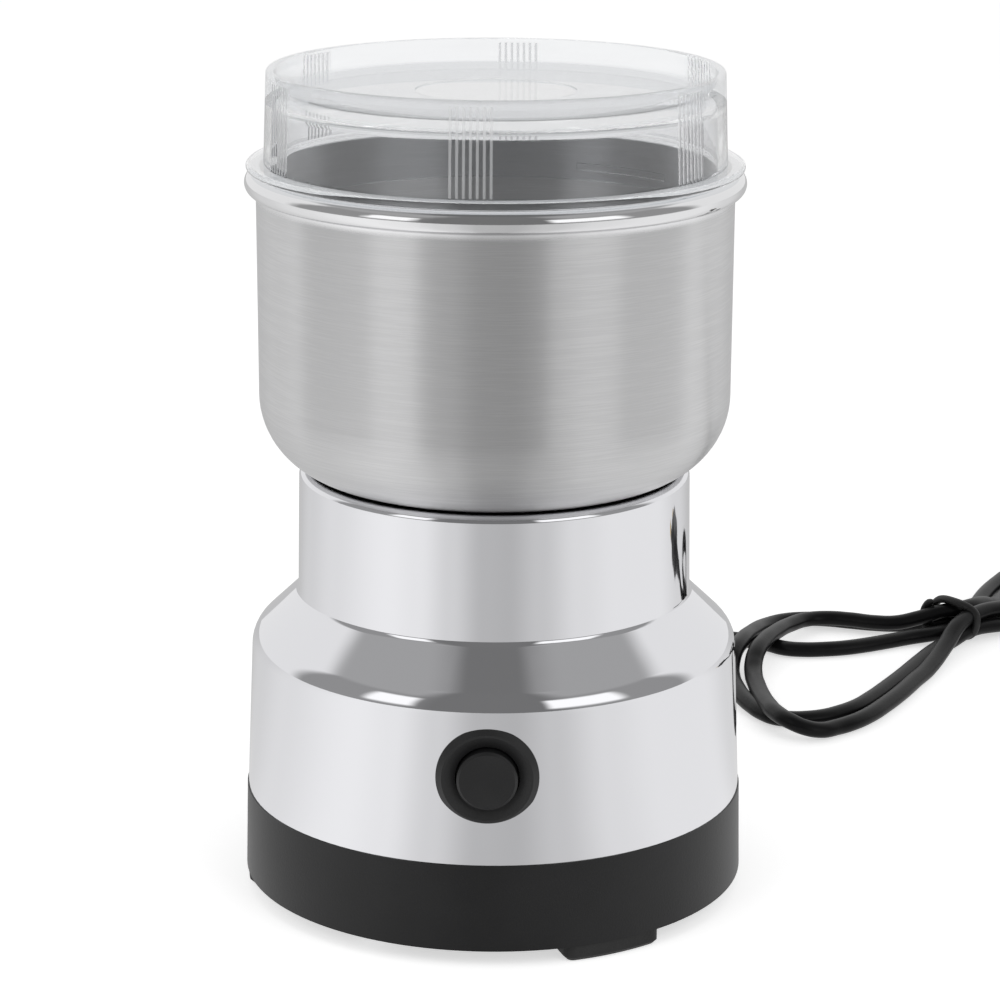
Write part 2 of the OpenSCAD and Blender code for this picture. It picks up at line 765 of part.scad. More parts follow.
// The block behind the barrel that holds the contacts
module contact_block() {
    color("#3a3430") difference() {
        along_front(barrel_r, y_block_end, y_barrel_end);
        along_front(cavity_r, y_barrel_end - block_lid_t - cavity_len,
            y_barrel_end - block_lid_t);
        along_front(stem_r + free_gap, y_barrel_end - block_lid_t - 1, y_barrel_end + 1);
        for (x = [-terminal_x, terminal_x])
            translate([x - terminal_t / 2 - seat, -y_block_end - block_back_t - 1,
                button_z - terminal_w / 2 - seat])
                cube([terminal_t + 2 * seat, block_back_t + 2, terminal_w + 2 * seat]);
    }
}

// Two brass blades: a contact face inside the block and a solder tag behind it
module switch_terminals() {
    color("#b99a4e") for (x = [-terminal_x, terminal_x]) {
        translate([x - terminal_t / 2, -y_contact, button_z - terminal_w / 2])
            cube([terminal_t, y_contact - y_terminal_end, terminal_w]);
        translate([x - 1.2, -y_contact, button_z - 1.2])
            cube([2.4, contact_t, 2.4]);
    }
}

// The button: cap, collar that stops it behind the bezel, and stem to the contact bridge
module push_button() {
    color("#202022") {
        along_front(button_r, y_collar - eps, y_button - button_round);
        translate([0, -y_button, button_z]) rotate([-90, 0, 0])
            cylinder(r1 = button_r - button_round, r2 = button_r, h = button_round + eps,
                $fn = fn_round);
        along_front(collar_r, y_collar - collar_t, y_collar);
        along_front(stem_r, y_bridge, y_collar - collar_t + eps);
    }
}

// The return spring around the stem
module button_spring() {
    from = y_barrel_end + spring_wire / 2 + 0.1;
    to = y_collar - collar_t - spring_wire / 2 - 0.1;
    count = spring_turns * 12;
    color("#c5c7ca") swept_tube([for (i = [0 : count])
        [spring_r * cos(i * 30), -(from + (to - from) * i / count),
         button_z + spring_r * sin(i * 30)]], spring_wire / 2, 6, [0, 1, 0]);
}

// The brass disc that joins the two contacts when the button is pressed
module contact_bridge() {
    color("#c2a454") along_front(cavity_r - 0.8, y_bridge - bridge_t, y_bridge);
}

// ---------- motor, fixed parts ----------

module pillars(z, h) {
    for (s = [-1, 1])
        translate([s * (pillar_in + pillar_out) / 2 - (pillar_out - pillar_in) / 2,
            -pillar_w / 2, z])
            cube([pillar_out - pillar_in, pillar_w, h]);
}

module motor_screw_holes(r, z, h) {
    for (s = [-1, 1]) translate([s * motor_screw_at, 0, z]) cylinder(r = r, h = h,
        $fn = fn_small);
}

// The cast bracket under the deck: plate, boss for the upper bush and two pillars
module upper_bracket() {
    color("#a9abad") in_motor() difference() {
        union() {
            translate([0, 0, z_bracket]) cylinder(r = bracket_r, h = bracket_t, $fn = fn_round);
            translate([0, 0, z_upper_boss])
                cylinder(r = upper_boss_r, h = z_upper_boss_top - z_upper_boss,
                    $fn = fn_round);
            pillars(z_stator_top, pillar_h + eps);
        }
        translate([0, 0, z_upper_boss - 1]) cylinder(r = bush_r + seat, h = 20,
            $fn = fn_round);
        motor_screw_holes(motor_screw_r + seat, z_stator_top - 1, pillar_h + 2);
        rotate([0, 0, -motor_turn]) turned(cup_screw_angles, cup_screw_at)
            translate([0, 0, z_bracket - 1]) cylinder(r = cup_screw_r + seat,
                h = bracket_t + 2, $fn = fn_small);
    }
}

module bush(z, h) {
    color("#a07a45") ring(bush_r, shaft_r + running, z, h);
}
module upper_bush() { bush(z_upper_boss + 0.5, z_upper_boss_top - z_upper_boss - 1); }
module lower_bush() { bush(z_lower_boss + 0.2, lower_boss_h + bracket_t - 0.4); }

// The lower bracket: a vented disc with a boss for the lower bush and two pillars
module lower_bracket() {
    color("#a9abad") in_motor() difference() {
        union() {
            translate([0, 0, z_lower]) cylinder(r = lower_r, h = bracket_t, $fn = fn_round);
            translate([0, 0, z_lower_boss])
                cylinder(r = boss_r, h = lower_boss_h + eps, $fn = fn_round);
            pillars(z_lower_top - eps, lower_pillar_h + eps);
        }
        translate([0, 0, z_lower_boss - 1]) cylinder(r = bush_r + seat, h = 12,
            $fn = fn_round);
        motor_screw_holes(motor_screw_r + 0.1, z_lower - 1, lower_pillar_h + 8);
        for (a = [35 : 22 : 145], s = [0, 180]) if (abs(a - 90) > 15)
            rotate([0, 0, a + s]) translate([20, 0, z_lower - 1])
                cylinder(r = 3, h = bracket_t + 2, $fn = fn_small);
    }
}

// Two long screws that clamp the lower bracket, stator and upper bracket together
module motor_screws() {
    color("#8d9093") in_motor() for (s = [-1, 1])
        translate([s * motor_screw_at, 0, z_lower]) mirror([0, 0, 1])
            screw_down(motor_screw_r, 2.8, 2.2,
                bracket_t + lower_pillar_h + stator_h + pillar_h - 1.5);
}

// The stack of stator plates: two poles, and a window for each side of a coil
module stator_core() {
    window_in = 6;
    window_out = stator_w / 2 - 6;
    window_low = 13;
    window_high = stator_depth / 2 - 3.5;
    color("#6f7276") in_motor() difference() {
        translate([-stator_w / 2, -stator_depth / 2, z_stator])
            cube([stator_w, stator_depth, stator_h]);
        translate([0, 0, z_stator - 1]) cylinder(r = bore_r, h = stator_h + 2,
            $fn = fn_round);
        for (sx = [0, 1], sy = [0, 1]) mirror([sx, 0, 0]) mirror([0, sy, 0])
            translate([window_in, window_low, z_stator - 1])
                cube([window_out - window_in, window_high - window_low, stator_h + 2]);
        motor_screw_holes(motor_screw_r + 0.1, z_stator - 1, stator_h + 2);
    }
}

// Two coils of enamelled wire, one around each pole
module field_coils() {
    leg_in = 10.2;
    leg_out = stator_w / 2 - 6.3;
    turn_in = bore_r + 1.2;
    side_in = 13.3;
    side_out = stator_depth / 2 - 3.8;
    color("#a5552b") in_motor() for (s = [0, 1]) mirror([s, 0, 0]) {
        for (t = [0, 1]) mirror([0, t, 0])
            translate([leg_in, side_in, z_stator - coil_rise])
                cube([leg_out - leg_in, side_out - side_in, stator_h + 2 * coil_rise]);
        for (z = [z_stator - coil_rise, z_stator_top + 0.3])
            translate([turn_in, -side_out, z])
                cube([leg_out - turn_in, 2 * side_out, coil_rise - 0.3]);
    }
}

module brush_places() {
    in_motor() for (s = [0, 180]) rotate([0, 0, s + 90]) children();
}

// Two brass tubes on feet, each guiding one brush
module brush_holders() {
    color("#b08d4a") brush_places() difference() {
        union() {
            translate([holder_in, -brush_w / 2 - 1, z_brush - brush_h / 2 - 1])
                cube([holder_out - holder_in, brush_w + 2, brush_h + 2]);
            translate([holder_in + 3, -brush_w / 2 - 1, z_lower_top])
                cube([holder_out - holder_in - 6, brush_w + 2,
                    z_brush - brush_h / 2 - 1 - z_lower_top + eps]);
        }
        translate([holder_in - 1, -brush_w / 2 - 0.1, z_brush - brush_h / 2 - 0.1])
            cube([holder_out - holder_in - 0.5, brush_w + 0.2, brush_h + 0.2]);
    }
}

// Two blocks of carbon that touch the commutator
module carbon_brushes() {
    color("#2b2b2d") brush_places()
        translate([brush_in, -brush_w / 2, z_brush - brush_h / 2])
            cube([brush_len, brush_w, brush_h]);
}

// Two small springs that press the brushes inwards
module brush_springs() {
    from = brush_in + brush_len + 0.4;
    to = holder_out - 1.5 - 0.4;
    count = 5 * 12;
    color("#c5c7ca") brush_places() swept_tube([for (i = [0 : count])
        [from + (to - from) * i / count, 1.8 * cos(i * 30), z_brush + 1.8 * sin(i * 30)]],
        0.25, 6, [1, 0, 0]);
}

// ---------- motor, turning parts ----------

module motor_shaft() {
    color("#c3c5c8") translate([0, 0, z_shaft])
        cylinder(r = shaft_r, h = z_shaft_top - z_shaft, $fn = fn_round);
}

// The armature's laminated core with twelve winding slots
module armature_core() {
    color("#85888c") difference() {
        ring(core_r, shaft_r + seat, z_stator, stator_h);
        for (a = [0 : 30 : 359]) rotate([0, 0, a])
            translate([core_r - 5.5, -1.2, z_stator - 1]) cube([7, 2.4, stator_h + 2]);
    }
}

// Copper windings: twelve bars in the slots and an end turn above and below
module armature_windings() {
    color("#b4622f") {
        for (z = [z_stator - coil_rise - 0.2, z_stator_top + 0.2])
            ring(winding_r, shaft_r + 1, z, coil_rise);
        for (a = [0 : 30 : 359]) rotate([0, 0, a])
            translate([core_r - 5.3, -1, z_stator - 1])
                cube([winding_r - core_r + 5.2, 2, stator_h + 2]);
    }
}

// The commutator: a copper barrel with narrow slits between its bars
module commutator() {
    color("#b97443") difference() {
        ring(commutator_r, shaft_r + seat, z_commutator, commutator_h);
        for (a = [15 : 30 : 359]) rotate([0, 0, a])
            translate([commutator_r - 1, -0.2, z_commutator - 1])
                cube([2, 0.4, commutator_h - 0.5]);
    }
}

// The cooling fan: a disc with straight blades below it
module cooling_fan() {
    plate_t = 1.2;
    color("#e5e2da") difference() {
        union() {
            translate([0, 0, z_fan_top - plate_t])
                cylinder(r = fan_r, h = plate_t, $fn = fn_round);
            translate([0, 0, z_fan]) cylinder(r = 6, h = fan_h, $fn = fn_round);
            for (a = [0 : 36 : 359]) rotate([0, 0, a])
                translate([5, -0.6, z_fan]) cube([fan_r - 6, 1.2, fan_h - plate_t + eps]);
        }
        translate([0, 0, z_fan - 1]) cylinder(r = shaft_r + seat, h = fan_h + 2,
            $fn = fn_round);
    }
}

// ---------- blade ----------

module blade_spacer() {
    color("#c8cacc") ring(6, shaft_r + seat, z_spacer, spacer_h);
}

// One wing of the blade, twisted about its own length
module wing() {
    root = hub_r - 2;
    tip_w = blade_w * 0.72;
    rotate([blade_twist, 0, 0]) translate([0, 0, -blade_t / 2]) linear_extrude(blade_t)
        polygon([[root, -blade_w / 2 + 1.5], [root + 5, -blade_w / 2],
            [blade_span / 2 - 3, -tip_w / 2], [blade_span / 2, -tip_w / 2 + 3],
            [blade_span / 2, tip_w / 2 - 1], [blade_span / 2 - 2, tip_w / 2],
            [root + 5, blade_w / 2], [root, blade_w / 2 - 1.5]]);
}

module blade() {
    color("#cfd1d4") difference() {
        translate([0, 0, z_blade]) {
            cylinder(r = hub_r, h = blade_t, $fn = fn_round);
            for (a = [0, 180]) rotate([0, 0, a]) translate([0, 0, blade_t / 2]) wing();
        }
        translate([0, 0, z_blade + blade_t]) cylinder(r = 6.6, h = 4, $fn = fn_round);
        translate([0, 0, z_blade - 4]) cylinder(r = 6.6, h = 4, $fn = fn_round);
        translate([0, 0, z_blade - 1]) cylinder(r = shaft_r + seat, h = blade_t + 2,
            $fn = fn_round);
    }
}

// The domed nut on top of the blade
module blade_nut() {
    flat = 5;
    dome_r = 5.6;
    color("#d3d5d8") difference() {
        union() {
            translate([0, 0, z_nut]) cylinder(r = flat / cos(30), h = nut_h, $fn = 6);
            intersection() {
                translate([0, 0, z_nut + nut_h - 3.6]) sphere(r = dome_r, $fn = fn_round);
                translate([0, 0, z_nut + nut_h - 0.5]) cylinder(r = flat - 0.2, h = 6,
                    $fn = fn_round);
            }
        }
        translate([0, 0, z_nut - 1]) cylinder(r = shaft_r + seat, h = nut_h + 1,
            $fn = fn_round);
    }
}

// ---------- cord entry and inner leads ----------

// The ribbed strain relief, moulded on the cord and held in the wall of the base
module strain_relief() {
    groove_count = 5;
    groove_step = (y_cord - y_relief - 4) / groove_count;
    color("#161617") translate([0, 0, cord_z]) rotate([-90, 0, 0]) difference() {
        union() {
            translate([0, 0, y_relief_in - 2]) cylinder(r = relief_flange_r, h = 2,
                $fn = fn_small);
            translate([0, 0, y_relief_in - 1]) cylinder(r = relief_neck_r,
                h = y_relief - y_relief_in + 2, $fn = fn_small);
            translate([0, 0, y_relief]) cylinder(r = relief_r + 1, h = 1.6, $fn = fn_small);
            translate([0, 0, y_relief + 1]) cylinder(r1 = relief_r, r2 = relief_end_r,
                h = y_cord - y_relief - 1, $fn = fn_small);
        }
        for (i = [1 : groove_count]) translate([0, 0, y_relief + i * groove_step])
            ring(relief_r + 2, relief_end_r - 0.3, 0, 1.4);
    }
}

// The end of the cord inside the base, between the strain relief and the leads
module inner_cord() {
    color("#1a1a1b") translate([0, y_inner_cord, cord_z]) rotate([-90, 0, 0])
        cylinder(r = cord_r, h = y_relief_in - 2 - y_inner_cord, $fn = fn_small);
}

// The bar that clamps the cord onto its saddle in the base
module cord_clamp() {
    color("#2c2c2e") difference() {
        translate([-clamp_x, clamp_y - clamp_w / 2, cord_z + cord_r + 0.1])
            cube([2 * clamp_x, clamp_w, clamp_t]);
        for (x = [-7.5, 7.5])
            translate([x, clamp_y, cord_z]) cylinder(r = 1.55, h = 12, $fn = fn_small);
    }
    color("#2c2c2e") for (s = [-1, 1]) translate([s * 7.5, clamp_y, cord_z - cord_r])
        ring(2.6, 1.55, 0, 2 * cord_r + 0.1 + eps);
}

module clamp_screws() {
    color("#8d9093") for (x = [-7.5, 7.5])
        translate([x, clamp_y, cord_z + cord_r + 0.1 + clamp_t])
            screw_down(1.4, 2.5, 1.8, cord_z + cord_r + 0.1 + clamp_t - z_floor_top - 0.6);
}

// Insulated leads: cord to switch, switch to brush, cord to the other brush
module live_lead() {
    tag = terminal_x + terminal_t / 2 + 0.02;
    color("#6b3a1e") swept_tube(curve([
        [1.1, y_inner_cord - 0.05, cord_z], [1.3, 31.4, cord_z], [3.5, 30, cord_z],
        [9, 32.5, 13], [20, 30, 16],
        [30, 20, 20], [35, 5, 25], [34.5, -10, 30], [29, -22, button_z - 3],
        [20, -30, button_z - 1], [13.5, -29, button_z], [10.5, -25, button_z],
        [6, -y_terminal_end - 3, button_z], [tag, -y_terminal_end - 3, button_z]], 2),
        wire_r, 8);
}
module switched_lead() {
    tag = terminal_x + terminal_t / 2 + 0.02;
    far = holder_out * cos(45) + 0.02;
    color("#1f1f22") swept_tube(curve([
        [-tag, -y_terminal_end - 3, button_z], [-6, -y_terminal_end - 3, button_z],
        [-10.5, -25, button_z], [-13.5, -29, button_z], [-19, -30, z_brush],
        [-23.5, -27, z_brush],
        [-23, -23, z_brush], [-far, -far, z_brush]], 2), wire_r, 8);
}
module neutral_lead() {
    far = holder_out * cos(45) + 0.02;
    color("#2b5f9e") swept_tube(curve([
        [-1.1, y_inner_cord - 0.05, cord_z], [-1.3, 31.4, cord_z], [-3.5, 30.2, 13],
        [-6, 32.5, 16], [-4, 35, 21],
        [4, 35.5, 27], [14, 33, 32], [22, 27.5, z_brush - 1], [23.5, 23.5, z_brush],
        [far, far, z_brush]], 2), wire_r, 8);
}

// ---------- cord, hank, tie and plug ----------

module cord_lead() {
    color("#18181a") swept_tube(curve(lead_route, 2), cord_r, cord_sides);
}

module cord_tail() {
    color("#18181a") swept_tube(curve(tail_route, 2), cord_r, cord_sides);
}

module at_tie() {
    translate([tie_at[0], tie_at[1], 0]) rotate([0, 0, tie_turn]) children();
}

// One side of the hank: the outer shape of its loops, narrowing to the tie
module lobe(circles, side) {
    hull() {
        for (c = circles) translate([c[0], c[1], 0]) cylinder(r = c[2], h = hank_h, $fn = 32);
        at_tie() translate([side * (tie_len / 2 + bundle_w / 2), 0, 0])
            cylinder(r = bundle_w / 2, h = hank_h, $fn = 32);
    }
}

// The folded hank: two lobes of loops and the bundle that the tie holds between them
module cord_hank() {
    color("#18181a") {
        lobe(left_lobe, -1);
        lobe(right_lobe, 1);
        at_tie() translate([-tie_len / 2 - 6, -bundle_w / 2, tie_t + 0.1])
            cube([tie_len + 12, bundle_w, bundle_h - 0.2]);
    }
}

// The wire tie wound once around the bundle
module cord_tie() {
    gap = 0.1;
    color("#101011") at_tie() difference() {
        translate([-tie_len / 2 + 1, -bundle_w / 2 - gap - tie_t, 0])
            cube([tie_len - 2, bundle_w + 2 * gap + 2 * tie_t, bundle_h + 2 * tie_t]);
        translate([-tie_len, -bundle_w / 2 - gap, tie_t])
            cube([2 * tie_len, bundle_w + 2 * gap, bundle_h]);
    }
}

// The plug: tapered strain relief and a flat six-sided body
module plug_body() {
    color("#18181a") translate([0, plug_at[1], plug_z]) rotate([0, 90, 0]) difference() {
        union() {
            translate([0, 0, plug_at[0]]) cylinder(r1 = cord_r + 0.6, r2 = 4.6,
                h = plug_relief_len + 2, $fn = fn_small);
            translate([0, 0, x_plug]) linear_extrude(plug_len) polygon([
                [-plug_h / 2, -plug_w / 2 + 6], [-plug_h / 2, plug_w / 2 - 6],
                [0, plug_w / 2], [plug_h / 2, plug_w / 2 - 6],
                [plug_h / 2, -plug_w / 2 + 6], [0, -plug_w / 2]]);
        }
        for (s = [-1, 1]) translate([0, s * pin_pitch / 2, x_pins - 8])
            cylinder(r = pin_core_r + seat, h = 9, $fn = fn_small);
    }
}

module at_pins() {
    for (s = [-1, 1]) translate([x_pins, plug_at[1] + s * pin_pitch / 2, plug_z])
        rotate([0, 90, 0]) children();
}

// Two round pins, thin inside the sleeve and full at the tip
module plug_pins() {
    color("#c9b06a") at_pins() {
        translate([0, 0, -7.8]) cylinder(r = pin_core_r, h = sleeve_len + 8, $fn = fn_small);
        translate([0, 0, sleeve_len + 0.05])
            cylinder(r = pin_r, h = pin_len - sleeve_len, $fn = fn_small);
    }
}

// The insulating sleeves on the pins
module plug_sleeves() {
    color("#19191b") at_pins() ring(sleeve_r, pin_core_r + seat, 0.02, sleeve_len);
}

base();
foot_front();
foot_back();
foot_left();
base_screws();
shell();
cup();
cup_seal();
cup_screws();
shaft_seal();
lid();
switch_bezel();
switch_nut();
contact_block();
switch_terminals();
push_button();
button_spring();
contact_bridge();
upper_bracket();
upper_bush();
lower_bracket();
lower_bush();
motor_screws();
stator_core();
field_coils();
brush_holders();
carbon_brushes();
brush_springs();
motor_shaft();
armature_core();
armature_windings();
commutator();
cooling_fan();
blade_spacer();
blade();
blade_nut();
strain_relief();
inner_cord();
cord_clamp();
clamp_screws();
live_lead();
switched_lead();
neutral_lead();
cord_lead();
cord_hank();
cord_tie();
cord_tail();
plug_body();
plug_pins();
plug_sleeves();
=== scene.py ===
import math

import bpy
from mathutils import Matrix, Vector


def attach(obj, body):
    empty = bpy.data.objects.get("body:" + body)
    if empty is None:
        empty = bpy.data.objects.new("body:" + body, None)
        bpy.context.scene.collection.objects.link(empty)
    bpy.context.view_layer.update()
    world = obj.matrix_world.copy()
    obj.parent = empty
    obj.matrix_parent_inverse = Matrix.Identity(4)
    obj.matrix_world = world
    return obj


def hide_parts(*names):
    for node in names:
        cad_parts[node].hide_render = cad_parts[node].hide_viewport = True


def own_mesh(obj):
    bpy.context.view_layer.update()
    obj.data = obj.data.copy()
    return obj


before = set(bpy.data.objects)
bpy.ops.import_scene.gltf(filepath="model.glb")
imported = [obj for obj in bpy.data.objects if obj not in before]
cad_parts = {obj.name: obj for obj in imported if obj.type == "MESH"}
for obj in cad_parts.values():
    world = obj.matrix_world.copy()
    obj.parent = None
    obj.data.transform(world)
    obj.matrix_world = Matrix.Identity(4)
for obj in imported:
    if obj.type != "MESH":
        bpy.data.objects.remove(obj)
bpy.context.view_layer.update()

# ---------------------------------------------------------------- camera
# A long lens, a little above the cup's rim and just to the right of the button. The whole
# grinder fills the height, and the tied cord runs out of view on the right.
camera_distance, camera_height = 0.6225, 0.25035
camera_side, camera_down, camera_lean = (math.radians(a) for a in (1.32, 15.46, 0.22))
camera = bpy.data.objects.new("camera", bpy.data.cameras.new("camera"))
camera.data.sensor_width, camera.data.lens, camera.data.shift_x = 36, 117.5, 0.00565
camera.matrix_world = (
    Matrix.Translation((camera_distance * math.sin(camera_side),
                        -camera_distance * math.cos(camera_side), camera_height))
    @ Matrix.Rotation(camera_side, 4, "Z")
    @ Matrix.Rotation(math.pi / 2 - camera_down, 4, "X")
    @ Matrix.Rotation(camera_lean, 4, "Z"))
bpy.context.scene.collection.objects.link(camera)
bpy.context.scene.camera = camera
bpy.context.scene.view_settings.view_transform = "Standard"

# ---------------------------------------------------------------- studio light
# A tent that is white at the back and grey at the sides and above, with two soft boxes in
# front, left and right. Between the boxes it is dark, and that is what the bright metal shows.
# The background is plain white.
back_light, side_light, front_light, ceiling_light, crown_light = 1.05, 0.38, 0.23, 0.48, 0.225
side_to_back, front_to_side, to_ceiling, to_crown = (97, 109), (26, 46), (40, 49), (66, 78)
ceiling_to_back = (122, 142)
box_light, plain_light = 1.42, 0.62
lamp_power, lamp_size, lamp_front, lamp_height, lamp_aim = 2.0, 0.6, -0.6, 0.62, 0.07
soft_boxes = [(-64, -57, -40, -33), (24, 30, 60, 68)]
box_low, box_high = (4, 12), (34, 40)


def feed(tree, socket, value):
    """Links a value that comes out of a node, and sets a plain one."""
    if isinstance(value, bpy.types.NodeSocket):
        tree.links.new(value, socket)
    else:
        socket.default_value = value


def calc(tree, operation, *values):
    node = tree.nodes.new("ShaderNodeMath")
    node.operation = operation
    for socket, value in zip(node.inputs, values):
        feed(tree, socket, value)
    return node.outputs[0]


def rising(tree, value, low, high):
    """0 below low, 1 above high, and a smooth rise between them."""
    node = tree.nodes.new("ShaderNodeMapRange")
    node.interpolation_type = "SMOOTHSTEP"
    tree.links.new(value, node.inputs["Value"])
    node.inputs["From Min"].default_value = low
    node.inputs["From Max"].default_value = high
    return node.outputs["Result"]


def between(tree, value, start, full, fade, end):
    return calc(tree, "SUBTRACT", rising(tree, value, start, full), rising(tree, value, fade, end))


def blended(tree, share, a, b):
    return calc(tree, "ADD", a, calc(tree, "MULTIPLY", share, calc(tree, "SUBTRACT", b, a)))


def axes_of(tree, coordinates):
    """The X, Y and Z of a texture coordinate, such as Object."""
    split = tree.nodes.new("ShaderNodeSeparateXYZ")
    tree.links.new(tree.nodes.new("ShaderNodeTexCoord").outputs[coordinates], split.inputs[0])
    return split.outputs


def azimuth(tree, place):
    """Degrees around the vertical axis, 0 in front of the button and positive to the right."""
    behind = calc(tree, "MULTIPLY", place["Y"], -1)
    return calc(tree, "MULTIPLY", calc(tree, "ARCTAN2", place["X"], behind), math.degrees(1))


tent = bpy.data.worlds.new("white tent")
bpy.context.scene.world = tent
tent.use_nodes = True
tree = tent.node_tree
tree.nodes.clear()
where = axes_of(tree, "Generated")
around = azimuth(tree, where)
height = calc(tree, "MULTIPLY", calc(tree, "ARCSINE", where["Z"]), math.degrees(1))
aside = calc(tree, "ABSOLUTE", around)
room = blended(tree, rising(tree, aside, *side_to_back), side_light, back_light)
ceiling = blended(tree, rising(tree, aside, *ceiling_to_back), ceiling_light, back_light)
room = blended(tree, rising(tree, height, *to_ceiling), room, ceiling)
room = blended(tree, rising(tree, aside, *front_to_side), front_light, room)
room = blended(tree, rising(tree, height, *to_crown), room, crown_light)
both_boxes = calc(tree, "ADD", *(between(tree, around, *box) for box in soft_boxes))
in_box = calc(tree, "MULTIPLY", between(tree, height, *box_low, *box_high), both_boxes)
studio = blended(tree, in_box, room, box_light)
rays = tree.nodes.new("ShaderNodeLightPath").outputs
met_metal = calc(tree, "MINIMUM", rays["Glossy Depth"], 1.0)
mirrored_once = calc(tree, "MAXIMUM", rays["Is Glossy Ray"],
                     calc(tree, "MULTIPLY", rays["Is Transmission Ray"], met_metal))
straight = calc(tree, "MULTIPLY", rays["Is Transmission Ray"], calc(tree, "SUBTRACT", 1.0, met_metal))
strength = blended(tree, mirrored_once, plain_light, studio)
strength = blended(tree, calc(tree, "MAXIMUM", rays["Is Camera Ray"], straight), strength, 1.0)
background = tree.nodes.new("ShaderNodeBackground")
tree.links.new(strength, background.inputs["Strength"])
tree.links.new(background.outputs[0], tree.nodes.new("ShaderNodeOutputWorld").inputs[0])

for side_name, x in (("left", -0.62), ("right", 0.58)):
    lamp = bpy.data.objects.new(f"lamp_{side_name}", bpy.data.lights.new(f"lamp_{side_name}", "AREA"))
    lamp.data.energy, lamp.data.size, lamp.data.shape = lamp_power, lamp_size, "SQUARE"
    lamp.location = (x, lamp_front, lamp_height)
    lamp.rotation_mode = "QUATERNION"
    lamp.rotation_quaternion = (lamp.location - Vector((0, 0, lamp_aim))).to_track_quat("Z", "Y")
    lamp.visible_camera = lamp.visible_glossy = lamp.visible_transmission = False
    bpy.context.scene.collection.objects.link(lamp)

# ---------------------------------------------------------------- floor
# A sheet of white board that keeps a faint shadow. Bright metal sees painted light and shade on it
# by azimuth: brightest under the soft boxes and darker straight in front and far behind.
board_half, board_low, board_white, board_glow = 4.0, 0.00005, 0.82, 0.59
painted_board_light_by_azimuth = [(-180, 0.50), (-155, 0.56), (-128, 0.70), (-100, 0.81), (-58, 0.95), (-40, 0.90),
                    (-22, 0.72), (-4, 0.52), (9, 0.50), (26, 0.62), (48, 0.80), (72, 0.87), (105, 0.87),
                    (130, 0.73), (156, 0.55), (180, 0.50)]


def stepped(tree, angle, low, high, stops):
    """The brightness at an angle, from (angle, brightness) stops between low and high."""
    node = tree.nodes.new("ShaderNodeValToRGB")
    node.color_ramp.interpolation = "EASE"
    tree.links.new(calc(tree, "DIVIDE", calc(tree, "SUBTRACT", angle, low), high - low), node.inputs[0])
    ramp = node.color_ramp.elements
    ramp[0].color, ramp[1].color = ((value, value, value, 1) for at, value in (stops[0], stops[-1]))
    for at, value in stops[1:-1]:
        ramp.new((at - low) / (high - low)).color = (value, value, value, 1)
    return node.outputs["Color"]


def layered(tree, share, under, over):
    """Two shaders, of which over covers under by share."""
    node = tree.nodes.new("ShaderNodeMixShader")
    tree.links.new(share, node.inputs[0])
    tree.links.new(under, node.inputs[1])
    tree.links.new(over, node.inputs[2])
    return node.outputs[0]


mesh = bpy.data.meshes.new("floor")
corners = [(x * board_half, y * board_half, -board_low) for x, y in ((-1, -1), (1, -1), (1, 1), (-1, 1))]
mesh.from_pydata(corners, [], [(0, 1, 2, 3)])
floor = bpy.data.objects.new("floor", mesh)
bpy.context.scene.collection.objects.link(floor)
board = bpy.data.materials.new("white board")
board.use_nodes = True
tree = board.node_tree
tree.nodes.clear()
rays = tree.nodes.new("ShaderNodeLightPath").outputs
matt = tree.nodes.new("ShaderNodeBsdfDiffuse")
matt.inputs["Color"].default_value = (board_white, board_white, board_white, 1)
glow = tree.nodes.new("ShaderNodeEmission")
seen_plainly = calc(tree, "MAXIMUM", rays["Is Camera Ray"], rays["Is Transmission Ray"])
tree.links.new(calc(tree, "MULTIPLY", seen_plainly, board_glow), glow.inputs["Strength"])
lit = tree.nodes.new("ShaderNodeAddShader")
tree.links.new(matt.outputs[0], lit.inputs[0])
tree.links.new(glow.outputs[0], lit.inputs[1])
# Painted light and shade: for glossy rays only, the board glows by azimuth.
painted_board_light = tree.nodes.new("ShaderNodeEmission")
tree.links.new(stepped(tree, azimuth(tree, axes_of(tree, "Object")), -180, 180, painted_board_light_by_azimuth),
               painted_board_light.inputs["Strength"])
in_metal = calc(tree, "MULTIPLY", rays["Is Glossy Ray"],
                calc(tree, "SUBTRACT", 1.0, rays["Is Transmission Ray"]))
tree.links.new(layered(tree, in_metal, lit.outputs[0], painted_board_light.outputs[0]),
               tree.nodes.new("ShaderNodeOutputMaterial").inputs[0])
floor.data.materials.append(board)

